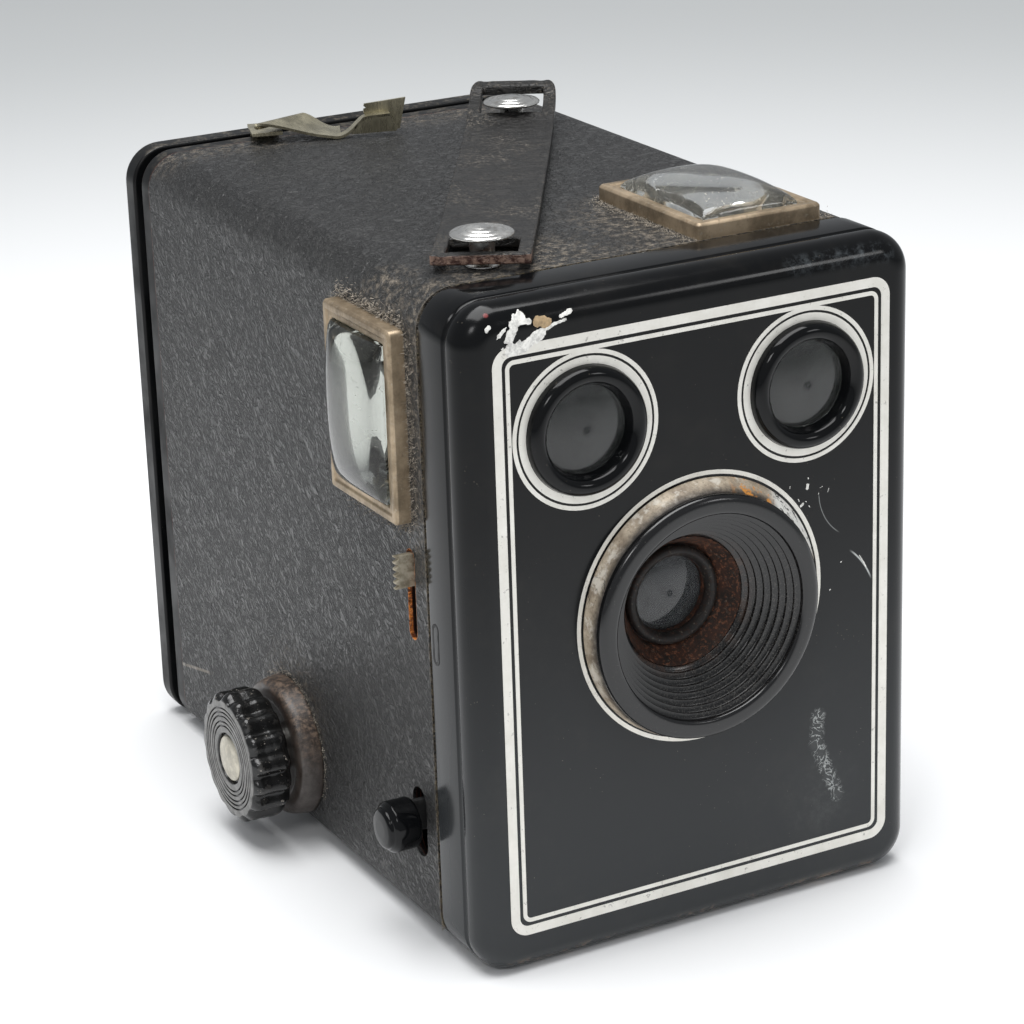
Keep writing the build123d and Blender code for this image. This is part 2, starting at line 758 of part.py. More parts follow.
strap_side = Plane(
    origin=(*stud_front, 0), x_dir=strap_dir, z_dir=(strap_dir[1], -strap_dir[0], 0)
)
strap_top = Plane(origin=(*stud_front, body_h), x_dir=strap_dir, z_dir=(0, 0, 1))
strap_line = [
    (strap_end, body_h + 1.25),
    (4.0, body_h + 0.75),
    (18.0, body_h + 0.4),
    (60.0, body_h + 0.4),
    (76.0, body_h + 0.9),
    (86.0, body_h + 2.2),
    (strap_tail, body_h + 4.0),
]
front_slot = (-2.5, 6.8)
rear_slot = (stud_pitch - 2.5, stud_pitch + 6.8)
slot_w = 10.5
with BuildPart() as handle_strap:
    with BuildSketch(strap_side):
        upper = [(s, z + strap_t) for s, z in strap_line]
        with BuildLine():
            Spline(*strap_line)
            Line(strap_line[-1], upper[-1])
            Spline(*reversed(upper))
            Line(upper[0], strap_line[0])
        make_face()
    extrude(amount=strap_w / 2, both=True)
    with BuildSketch(strap_top):
        for start, stop in (front_slot, rear_slot):
            with Locations(((start + stop) / 2, 0)):
                RectangleRounded(stop - start, slot_w, 0.8)
    extrude(amount=12, mode=Mode.SUBTRACT)
finish(handle_strap, "handle_strap")

# ---- back latch: folded spring clip beside the roof's rear edge ----------
clip_origin = (-7.2, 43.0)
clip_angle = math.radians(18)
clip_dir = (math.cos(clip_angle), -math.sin(clip_angle), 0)
clip_across = (clip_dir[1], -clip_dir[0], 0)
clip_t = 0.55
clip_w = 7.6
clip_face = Plane(origin=(*clip_origin, body_h), x_dir=clip_dir, z_dir=clip_across)
clip_plan = Plane(origin=(*clip_origin, body_h), x_dir=clip_dir, z_dir=(0, 0, 1))
fold_s = -13.5
fold_low_h = 1.8
fold_high_h = 3.9
contact_h = 0.65
bump_h = 3.6
bump_s0 = 5.4
bump_s1 = 9.7
tab_top_h = 5.4

with BuildPart() as latch_foot:
    with BuildSketch(clip_face):
        with Locations((fold_s + 2.3, fold_low_h)):
            Rectangle(5.2, clip_t)
    extrude(amount=-clip_w)
    with BuildSketch(clip_plan):
        with Locations((fold_s + 2.5, clip_w - 0.4)):
            Rectangle(4.8, 0.8)
        with Locations((fold_s + 2.5, clip_w - 1.6)):
            Rectangle(3.2, 1.8)
    extrude(amount=fold_low_h)
finish(latch_foot, "latch_foot")

with BuildPart() as latch_clip:
    with BuildSketch(clip_face):
        with BuildLine():
            FilletPolyline(
                (fold_s, fold_low_h + 0.6),
                (fold_s, fold_high_h),
                (-0.6, contact_h),
                (1.5, contact_h),
                (bump_s0, bump_h),
                (bump_s1, bump_h + 0.2),
                radius=0.6,
            )
        trace(line_width=clip_t)
    extrude(amount=-clip_w)
    with BuildSketch(clip_plan):
        with Locations((bump_s0 + 4.5, clip_w / 2 + 2.2)):
            Rectangle(10.5, clip_w)
    extrude(amount=12, mode=Mode.SUBTRACT)
    with BuildSketch(clip_face):
        with BuildLine():
            Polyline(
                (bump_s0 - 0.2, bump_h - 0.1),
                (bump_s1 + 0.1, bump_h - 0.1),
                (bump_s1 + 0.9, 0.7),
                (2.6, 0.7),
                (3.4, 2.0),
                close=True,
            )
        make_face()
    extrude(amount=-0.5)
    with BuildSketch(clip_face.offset(-1.7)):
        with BuildLine():
            Polyline(
                (bump_s0 + 0.3, bump_h - 0.2),
                (bump_s0 + 0.2, tab_top_h),
                (12.7, tab_top_h + 0.7),
                (11.4, 0.7),
                (9.4, 0.7),
                (8.0, bump_h - 0.2),
                close=True,
            )
        make_face()
        with Locations((bump_s0 + 0.65, tab_top_h - 0.75)):
            Circle(0.4, mode=Mode.SUBTRACT)
    extrude(amount=-0.55)
finish(latch_clip, "latch_clip")

# ---- rear door: pressed pan, lip, covering, ruby window, hinge pin ------
door_w = 77.2
door_h = 103.7
door_r = 6.2
door_t = 0.9
door_skin = 0.35
pan_y = back_y - door_skin
lip_w = 72.2
lip_z0 = 2.1
lip_z1 = 101.5
lip_t = 0.7
lip_front_y = 51.6
ruby_x = 0.0
ruby_z = 33.0
ruby_r = 6.0

with BuildPart() as rear_door:
    with BuildSketch(upright(door_front_y)):
        with Locations((0, door_h / 2)):
            RectangleRounded(door_w, door_h, door_r)
    extrude(amount=-(pan_y - door_front_y))
    back_edges = rear_door.faces().sort_by(Axis.Y)[-1].edges()
    fillet(back_edges, radius=1.5)
    front_edges = rear_door.faces().sort_by(Axis.Y)[0].edges()
    fillet(front_edges, radius=0.5)
    with BuildSketch(upright(door_front_y - 1)):
        with Locations((0, door_h / 2)):
            RectangleRounded(door_w - 3.4, door_h - 3.4, door_r - 1.7)
    extrude(amount=-(pan_y - door_t - door_front_y + 1), mode=Mode.SUBTRACT)
    with BuildSketch(upright(lip_front_y)):
        with Locations((0, (lip_z0 + lip_z1) / 2)):
            RectangleRounded(lip_w, lip_z1 - lip_z0, 4.0)
            RectangleRounded(lip_w - 2 * lip_t, lip_z1 - lip_z0 - 2 * lip_t, 3.3, mode=Mode.SUBTRACT)
    extrude(amount=-(pan_y - door_t - lip_front_y))
    knuckle(-hinge_split_x + hinge_gap, hinge_split_x - hinge_gap, hinge_y + knuckle_web)
    with Locations((ruby_x, back_y, ruby_z)):
        Cylinder(ruby_r, 8, rotation=(90, 0, 0), mode=Mode.SUBTRACT)
finish(rear_door, "rear_door")

with BuildPart() as door_covering:
    with BuildSketch(upright(pan_y)):
        with Locations((0, door_h / 2)):
            RectangleRounded(door_w - 6.0, door_h - 6.0, 3.4)
        with Locations((ruby_x, ruby_z)):
            Circle(ruby_r + 2.4, mode=Mode.SUBTRACT)
    extrude(amount=-door_skin)
finish(door_covering, "door_covering")

with BuildPart() as window_ring:
    with BuildSketch(upright(pan_y)):
        with Locations((ruby_x, ruby_z)):
            Circle(ruby_r + 2.2)
            Circle(ruby_r - 0.4, mode=Mode.SUBTRACT)
    extrude(amount=-door_skin)
finish(window_ring, "window_ring")

with BuildPart() as ruby_window:
    with BuildSketch(upright(pan_y - door_t - 0.5)):
        with Locations((ruby_x, ruby_z)):
            Circle(ruby_r + 1.8)
    extrude(amount=-0.5)
finish(ruby_window, "ruby_window")

with BuildPart() as hinge_pin:
    with Locations((0, hinge_y, hinge_z)):
        Cylinder(hinge_bore_r - 0.06, 2 * hinge_outer_x, rotation=(0, 90, 0))
finish(hinge_pin, "hinge_pin")

# ---- film winder: boss, sliding sleeve, shaft with key, knob, rivet -----
boss_r = 11.7
boss_out_x = -side_x - 3.7
sleeve_r = 3.6
shaft_r = 2.5
winder_in_x = -43.1
winder_out_x = -50.2
winder_r = 10.9
flute_count = 17
key_x0 = -32.8
key_x1 = -30.4
key_t = 1.2
key_w = 4.2
rivet_r = 3.8

with BuildPart() as winder_boss:
    with BuildSketch(Plane.XY.offset(winder_z)):
        with BuildLine():
            Polyline(
                (-side_x, winder_y + sleeve_hole_r - 0.1),
                (-side_x, winder_y + boss_r),
                (-side_x - 0.8, winder_y + boss_r - 0.1),
                (boss_out_x + 1.2, winder_y + boss_r - 0.4),
                (boss_out_x + 0.3, winder_y + boss_r - 0.8),
                (boss_out_x, winder_y + boss_r - 1.6),
                (boss_out_x, winder_y + boss_r - 3.4),
                (boss_out_x + 0.9, winder_y + boss_r - 4.2),
                (boss_out_x + 0.9, winder_y + sleeve_hole_r - 0.1),
                close=True,
            )
        make_face()
    revolve(axis=winder_axis)
finish(winder_boss, "winder_boss")

with BuildPart() as winder_sleeve:
    with Locations(((winder_in_x + key_x0) / 2, winder_y, winder_z)):
        Cylinder(sleeve_r, key_x0 - winder_in_x - 0.4, rotation=(0, 90, 0))
        Cylinder(shaft_r + 0.06, 20, rotation=(0, 90, 0), mode=Mode.SUBTRACT)
finish(winder_sleeve, "winder_sleeve")

with BuildPart() as winder_shaft:
    with Locations(((winder_out_x + 1.4 + key_x0) / 2, winder_y, winder_z)):
        Cylinder(shaft_r, key_x0 - winder_out_x - 1.4, rotation=(0, 90, 0))
    block(key_x0, key_x1, winder_y - key_t / 2, winder_y + key_t / 2,
          winder_z - key_w / 2, winder_z + key_w / 2)
finish(winder_shaft, "winder_shaft")

with BuildPart() as winder_knob:
    with BuildSketch(Plane.XY.offset(winder_z)):
        with BuildLine():
            Polyline(
                (winder_in_x, winder_y + shaft_r),
                (winder_in_x, winder_y + winder_r - 1.0),
                (winder_in_x - 0.5, winder_y + winder_r - 0.2),
                (winder_in_x - 1.2, winder_y + winder_r),
                (winder_out_x + 1.6, winder_y + winder_r),
                (winder_out_x + 0.3, winder_y + winder_r - 1.1),
                (winder_out_x, winder_y + 8.5),
                (winder_out_x + 0.35, winder_y + 8.2),
                (winder_out_x + 0.05, winder_y + 7.8),
                (winder_out_x + 0.05, winder_y + 7.2),
                (winder_out_x + 0.4, winder_y + 6.9),
                (winder_out_x + 0.1, winder_y + 6.5),
                (winder_out_x + 0.1, winder_y + 5.9),
                (winder_out_x + 0.5, winder_y + 5.5),
                (winder_out_x + 0.5, winder_y + rivet_r + 0.3),
                (winder_out_x + 1.0, winder_y + rivet_r + 0.3),
                (winder_out_x + 1.0, winder_y + shaft_r),
                close=True,
            )
        make_face()
    revolve(axis=winder_axis)
    with BuildSketch(Plane.YZ.offset(winder_out_x - 1)):
        with Locations((winder_y, winder_z)):
            with PolarLocations(winder_r + 0.75, flute_count):
                Circle(1.35)
    extrude(amount=winder_in_x - winder_out_x - 1.0, mode=Mode.SUBTRACT)
finish(winder_knob, "winder_knob")

with BuildPart() as winder_rivet:
    with BuildSketch(Plane.XY.offset(winder_z)):
        mid_r, mid_drop = dome_mid(rivet_r, 0.5)
        with BuildLine():
            Polyline(
                (winder_out_x, winder_y),
                (winder_out_x + 1.4, winder_y),
                (winder_out_x + 1.4, winder_y + shaft_r - 0.02),
                (winder_out_x + 1.0, winder_y + shaft_r - 0.02),
                (winder_out_x + 1.0, winder_y + rivet_r),
                (winder_out_x + 0.5, winder_y + rivet_r),
            )
            ThreePointArc(
                (winder_out_x + 0.5, winder_y + rivet_r),
                (winder_out_x + mid_drop, winder_y + mid_r),
                (winder_out_x, winder_y),
            )
        make_face()
    revolve(axis=winder_axis)
finish(winder_rivet, "winder_rivet")

# ---- film carrier: side plates with a gate, light cone, rollers, pins ---
carrier_x = 35.9
carrier_t = 0.7
carrier_front_y = -17.0
gate_w = 57.0
gate_h = 83.0
roller_r = 2.6
roller_y = 43.2
roller_low_z = 6.4
roller_high_z = 97.2
spool_half = 32.2
spool_flange_r = 12.2
spool_core_r = 3.3
supply_z = body_h - winder_z
pin_r = 1.4

with BuildPart() as carrier_frame:
    for sign in (-1, 1):
        inner = sign * (carrier_x - carrier_t)
        outer = sign * carrier_x
        block(min(inner, outer), max(inner, outer), carrier_front_y, film_y,
              4.2, 99.4)
    block(-carrier_x, carrier_x, film_y - 1.0, film_y, mid_z - 45.0, mid_z + 45.0)
    with BuildSketch(upright(film_y - 3)):
        with Locations((0, mid_z)):
            Rectangle(gate_w, gate_h)
    extrude(amount=-5, mode=Mode.SUBTRACT)
    with Locations((-carrier_x, winder_y, winder_z)):
        Cylinder(sleeve_r + 0.5, 4, rotation=(0, 90, 0), mode=Mode.SUBTRACT)
finish(carrier_frame, "carrier_frame")

cone_t = 0.7
cone_front_y = -46.0
cone_back_y = film_y - 1.05
cone_front_w = 16.0
cone_front_h = 18.0

with BuildPart() as light_cone:
    with BuildSketch(upright(cone_front_y)):
        with Locations((0, lens_z)):
            Rectangle(cone_front_w, cone_front_h)
    with BuildSketch(upright(cone_back_y)):
        with Locations((0, mid_z)):
            Rectangle(gate_w + 2 * cone_t, gate_h + 2 * cone_t)
    loft()
    with BuildSketch(upright(cone_front_y)):
        with Locations((0, lens_z)):
            Rectangle(cone_front_w - 2 * cone_t, cone_front_h - 2 * cone_t)
    with BuildSketch(upright(cone_back_y)):
        with Locations((0, mid_z)):
            Rectangle(gate_w, gate_h)
    loft(mode=Mode.SUBTRACT)
finish(light_cone, "light_cone")

roller_half = carrier_x - carrier_t - 0.4
for roller_name, roller_z in (("lower_roller", roller_low_z), ("upper_roller", roller_high_z)):
    with BuildPart() as roller:
        with Locations((0, roller_y, roller_z)):
            Cylinder(roller_r, 2 * roller_half, rotation=(0, 90, 0))
            Cylinder(1.06, 80, rotation=(0, 90, 0), mode=Mode.SUBTRACT)
    finish(roller, roller_name)

with BuildPart() as roller_pins:
    for pin_z in (roller_low_z, roller_high_z):
        with Locations((0, roller_y, pin_z)):
            Cylinder(1.0, 2 * (carrier_x - carrier_t), rotation=(0, 90, 0))
finish(roller_pins, "roller_pins")

with BuildPart() as spool_pins:
    for pin_side, pin_z in ((-1, supply_z), (1, supply_z), (1, winder_z)):
        with Locations((pin_side * (carrier_x - carrier_t - 2.6), winder_y, pin_z)):
            Cylinder(pin_r, 5.2, rotation=(0, 90, 0))
        with Locations((pin_side * (carrier_x - carrier_t - 0.4), winder_y, pin_z)):
            Cylinder(3.6, 0.8, rotation=(0, 90, 0))
finish(spool_pins, "spool_pins")

with BuildPart() as take_up_spool:
    with Locations((0, winder_y, winder_z)):
        Cylinder(spool_core_r, 2 * spool_half, rotation=(0, 90, 0))
    for sign in (-1, 1):
        with Locations((sign * (spool_half - 0.3), winder_y, winder_z)):
            Cylinder(spool_flange_r, 0.6, rotation=(0, 90, 0))
    with Locations((spool_half, winder_y, winder_z)):
        Cylinder(pin_r + 0.3, 10, rotation=(0, 90, 0), mode=Mode.SUBTRACT)
    block(-spool_half - 1, key_x1 + 0.6, winder_y - key_t / 2 - 0.3, winder_y + key_t / 2 + 0.3,
          winder_z - key_w / 2 - 0.4, winder_z + key_w / 2 + 0.4, mode=Mode.SUBTRACT)
finish(take_up_spool, "take_up_spool")
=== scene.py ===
import math
import random

import bmesh
import bpy
from mathutils import Matrix, Vector, noise


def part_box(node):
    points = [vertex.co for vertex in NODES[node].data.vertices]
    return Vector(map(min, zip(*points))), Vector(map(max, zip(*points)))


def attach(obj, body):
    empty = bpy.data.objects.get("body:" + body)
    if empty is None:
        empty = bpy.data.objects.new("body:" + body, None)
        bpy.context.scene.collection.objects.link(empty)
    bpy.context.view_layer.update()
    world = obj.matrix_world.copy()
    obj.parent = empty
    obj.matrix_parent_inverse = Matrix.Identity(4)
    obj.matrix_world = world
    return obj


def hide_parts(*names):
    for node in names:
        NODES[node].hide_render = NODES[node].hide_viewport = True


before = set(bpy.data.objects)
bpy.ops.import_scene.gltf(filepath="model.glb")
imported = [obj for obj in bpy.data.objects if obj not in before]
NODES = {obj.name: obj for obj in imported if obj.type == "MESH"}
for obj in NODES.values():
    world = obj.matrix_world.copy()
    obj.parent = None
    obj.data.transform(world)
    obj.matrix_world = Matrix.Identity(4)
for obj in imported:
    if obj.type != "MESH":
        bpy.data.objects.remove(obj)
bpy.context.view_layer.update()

MM = 0.001
SAME_POINT = 1e-4
TAU = math.tau


# Corners and middle of a CAD node's box, in millimetres.
def lo(node):
    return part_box(node)[0] / MM


def hi(node):
    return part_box(node)[1] / MM


def mid(node):
    return (lo(node) + hi(node)) / 2


# ---------------------------------------------------------------- materials
class Value:
    """A node output that takes + - * and abs(), and | for the larger of two."""

    def __init__(self, look, socket):
        self.look = look
        self.socket = socket

    def __add__(self, other):
        return self.look.math("ADD", self, other)

    def __sub__(self, other):
        return self.look.math("SUBTRACT", self, other)

    def __rsub__(self, other):
        return self.look.math("SUBTRACT", other, self)

    def __mul__(self, other):
        return self.look.math("MULTIPLY", self, other)

    def __or__(self, other):
        return self.look.math("MAXIMUM", self, other)

    def __abs__(self):
        return self.look.math("ABSOLUTE", self)

    __radd__ = __add__
    __rmul__ = __mul__


class Look:
    """One procedural material; colours and masks are read in object space."""

    def __init__(self, name, color=(0.5, 0.5, 0.5), rough=0.5, **sockets):
        self.mat = bpy.data.materials.new(name)
        self.mat.use_nodes = True
        self.tree = self.mat.node_tree
        self.tree.nodes.clear()
        self.out = self.tree.nodes.new("ShaderNodeOutputMaterial")
        self.bsdf = self.tree.nodes.new("ShaderNodeBsdfPrincipled")
        self.tree.links.new(self.bsdf.outputs["BSDF"], self.out.inputs["Surface"])
        self.pos = self.out_of(self.tree.nodes.new("ShaderNodeTexCoord"), "Object")
        self.bsdf.inputs["Base Color"].default_value = (*color, 1)
        self.bsdf.inputs["Roughness"].default_value = rough
        for key, value in sockets.items():
            self.bsdf.inputs[key.replace("_", " ")].default_value = value

    def node(self, kind, **inputs):
        """A new shader node with its inputs set or linked by name."""
        made = self.tree.nodes.new("ShaderNode" + kind)
        for key, value in inputs.items():
            self.put(made.inputs[key.replace("_", " ")], value)
        return made

    def out_of(self, node, key=0):
        return Value(self, node.outputs[key])

    def put(self, socket, value):
        """Links a Value to a socket, or sets a plain number, colour or vector."""
        if isinstance(value, Value):
            self.tree.links.new(value.socket, socket)
        elif hasattr(value, "__len__") and len(value) == 3 and socket.type == "RGBA":
            socket.default_value = (*value, 1)
        else:
            socket.default_value = value

    def set(self, name, value):
        self.put(self.bsdf.inputs[name], value)

    def math(self, op, a, b=0.0, clamp=False):
        made = self.tree.nodes.new("ShaderNodeMath")
        made.operation = op
        made.use_clamp = clamp
        self.put(made.inputs[0], a)
        self.put(made.inputs[1], b)
        return self.out_of(made)

    def vmath(self, op, a, b=(0, 0, 0)):
        made = self.tree.nodes.new("ShaderNodeVectorMath")
        made.operation = op
        self.put(made.inputs[0], a)
        self.put(made.inputs[1], b)
        return self.out_of(made, "Value" if op in ("DISTANCE", "LENGTH", "DOT_PRODUCT") else 0)

    def axis(self, index):
        return self.out_of(self.node("SeparateXYZ", Vector=self.pos), index)

    def scaled(self, scale):
        return self.vmath("MULTIPLY", self.pos, scale)

    # Patterns and measures of place; each gives a Value.
    def noise(self, scale, detail=3.0, rough=0.55, distort=0.0, vector=None):
        made = self.node("TexNoise", Scale=scale, Detail=detail, Roughness=rough, Distortion=distort)
        self.put(made.inputs["Vector"], vector or self.pos)
        return self.out_of(made, "Fac")

    def cells(self, scale, feature="F1"):
        made = self.node("TexVoronoi", Scale=scale, Vector=self.pos)
        made.feature = feature
        return self.out_of(made, "Distance")

    def turned(self, ways):
        """Position along three directions, each with its own scale, for stretched noise."""
        made = self.node("CombineXYZ")
        for index, (way, scale) in enumerate(ways):
            self.put(made.inputs[index], self.vmath("DOT_PRODUCT", self.pos, way) * scale)
        return self.out_of(made)

    def span(self, value, a, b, c=0.0, d=1.0):
        """Smoothly maps a..b to c..d, clamped."""
        made = self.node("MapRange", Value=value)
        made.interpolation_type = "SMOOTHSTEP"
        for key, number in (("From Min", a), ("From Max", b), ("To Min", c), ("To Max", d)):
            made.inputs[key].default_value = number
        return self.out_of(made, "Result")

    def fade(self, value, a, b):
        """1 up to a, falling smoothly to 0 at b."""
        return self.span(value, a, b, 1.0, 0.0)

    def mix(self, fac, a, b):
        made = self.tree.nodes.new("ShaderNodeMix")
        made.data_type = "RGBA"
        self.put(made.inputs[0], fac)
        self.put(made.inputs[6], a)
        self.put(made.inputs[7], b)
        return self.out_of(made, 2)

    def blend(self, fac, a, b):
        """Mix of two shaders."""
        made = self.node("MixShader")
        for index, value in enumerate((fac, a, b)):
            self.put(made.inputs[index], value)
        return self.out_of(made)

    def blob(self, center, radius, soft=0.4):
        """1 near a point given in millimetres, falling to 0 at radius."""
        far = self.vmath("DISTANCE", self.pos, Vector(center) * MM)
        return self.fade(far, radius * MM * (1 - soft), radius * MM)

    def off_axis(self, center):
        """Distance from a line along x through a point given in metres."""
        flat = self.vmath("MULTIPLY", self.vmath("SUBTRACT", self.pos, center), (0, 1, 1))
        return self.vmath("LENGTH", flat)

    def facing(self, direction):
        return self.vmath("DOT_PRODUCT", self.out_of(self.node("NewGeometry"), "Normal"), direction)

    def edges(self, radius, a=0.02, b=0.25):
        """1 on sharp edges, found by comparing a bevelled normal with the real one."""
        made = self.node("Bevel", Radius=radius * MM)
        made.samples = 4
        return self.span(1.0 - self.facing(self.out_of(made, "Normal")), a, b)

    def bump(self, height, distance, strength=1.0):
        made = self.node("Bump", Height=height, Distance=distance * MM, Strength=strength)
        self.put(self.bsdf.inputs["Normal"], self.out_of(made, "Normal"))

    def finish(self, color, rough, height, distance, strength):
        """Sets colour, roughness and bump, and gives the material back."""
        self.set("Base Color", color)
        self.set("Roughness", rough)
        self.bump(height, distance, strength)
        return self.mat


DUST = (0.30, 0.26, 0.20)
PLATE_FACE = -61.2
SLOT_EDGE = (0.00128, 0.00134)


def enamel(name, black=(0.0030, 0.0033, 0.0038), rough=0.12, gloss=0.23):
    """Stoved black enamel: deep gloss with hairlines, dust specks and soft haze."""
    m = Look(name, black, rough, Specular_IOR_Level=gloss)
    haze = m.noise(60, 5, 0.6)
    streak = m.noise(1.0, 3, 0.6, vector=m.scaled((900, 900, 60)))
    m.set("Roughness", m.span(haze, 0.3, 0.75, rough * 0.8, rough * 1.9)
          + m.span(streak, 0.62, 0.8, 0.0, 0.10))
    specks = m.fade(m.cells(1300), 0.05, 0.09)
    specks = specks * m.span(m.noise(160, 3), 0.56, 0.64, 0.0, 0.7)
    film = m.span(m.noise(90, 5, 0.7), 0.5, 0.8, 0.0, 0.02)
    m.dust = specks | film
    m.dusty = m.mix(m.dust, black, DUST)
    m.set("Base Color", m.dusty)
    m.bump(m.noise(420, 2, 0.5), 0.008, 0.35)
    return m


def trail(m, points, width, soft=0.5):
    """1 along a chain of points given in millimetres, 0 beyond width."""
    mask = None
    for (ax, az), (bx, bz) in zip(points, points[1:]):
        count = max(2, int(math.hypot(bx - ax, bz - az) / (width * 0.8)))
        for k in range(count + 1):
            t = k / count
            dot = m.blob((ax + (bx - ax) * t, PLATE_FACE, az + (bz - az) * t), width, soft)
            mask = dot if mask is None else mask | dot
    return mask


def bowed_line(m, center, radius, fade):
    """A hair-thin arc on the front plate, round a point (x, z) given in millimetres."""
    far = m.vmath("DISTANCE", m.pos, Vector((center[0], PLATE_FACE, center[1])) * MM)
    return m.span(abs(far - radius), *fade)


def front_enamel():
    """Front plate: black enamel with scuffs, an arc scratch and rubbed edges, a painted floor reflection low
    down and a painted bluish reflection along the top shoulder.
    """
    m = enamel("front_enamel")
    ragged = m.noise(1100, 4, 0.7, 0.8)
    thin = abs(m.noise(620, 3, 0.6, 1.0) - 0.5)
    net = m.fade(thin, 0.012, 0.035)
    smudge = trail(m, ((20.9, 29.4), (20.6, 25.0), (22.3, 20.6), (24.4, 15.6)), 1.7, 0.7)
    smear = smudge * (net * 0.75 | m.span(ragged, 0.60, 0.72, 0.06, 0.6))
    haze = m.blob((21.5, PLATE_FACE, 16.0), 9.0, 0.9) * m.span(m.noise(300, 5, 0.8), 0.4, 0.8, 0.02, 0.16)
    scratch = bowed_line(m, (18.6, 45.5), 0.01285, (0.00006, 0.00018, 1.0, 0.0))
    scratch = scratch * m.blob((28.9, PLATE_FACE, 53.0), 3.6, 0.5)
    hairline = bowed_line(m, (29.8, 66.0), 0.0088, (0.00004, 0.0001, 0.4, 0.0))
    hairline = hairline * m.blob((22.0, PLATE_FACE, 62.0), 4.4, 0.3)
    # Soft bluish streak along the top shoulder: a painted reflection.
    painted_shoulder_reflection = trail(m, ((17.0, 101.9), (25.0, 101.7), (33.0, 101.5)), 2.4, 0.9)
    painted_shoulder_reflection = painted_shoulder_reflection * m.span(m.noise(500, 6, 0.8), 0.44, 0.72, 0.0, 0.30)
    red = m.blob((-33.6, -60.1, 102.6), 0.5, 0.5) * 0.8
    pale = smear | haze * 0.5 | scratch | hairline
    rim = m.edges(0.4, 0.10, 0.35) * m.span(m.noise(380, 4, 0.7), 0.60, 0.70, 0.0, 0.6)
    low = m.fade(m.axis(2), 0.0008, 0.0026)
    low = low * m.span(m.noise(300, 4, 0.7), 0.52, 0.64)
    # Bluish grey rising towards the bottom of the plate: a painted reflection of the bright floor in front.
    film = m.span(m.axis(2), 0.002, 0.080, 0.080, 0.0)
    color = m.mix(film, m.dusty, (0.40, 0.43, 0.45))
    color = m.mix(painted_shoulder_reflection, color, (0.24, 0.27, 0.29))
    color = m.mix(pale, color, (0.50, 0.52, 0.51))
    color = m.mix(rim | low, color, (0.20, 0.15, 0.11))
    color = m.mix(red, color, (0.24, 0.05, 0.05))
    m.set("Base Color", color)
    return m.mat


def slot_wall(m):
    """1 on the covering's cut walls round the time slide's slot."""
    foot = Vector((0, -42.3, 50.2)) * MM
    head = Vector((0, -42.3, 62.0)) * MM
    beside = abs(m.axis(1) - foot.y)
    between = m.span(m.axis(2), foot.z, foot.z + 0.0002) * m.span(m.axis(2), head.z, head.z - 0.0002)
    near = m.fade(m.math("MINIMUM", m.off_axis(foot), m.off_axis(head)), *SLOT_EDGE)
    wall = near | between * m.fade(beside, *SLOT_EDGE)
    return wall * m.span(m.axis(0), -0.030, -0.031)


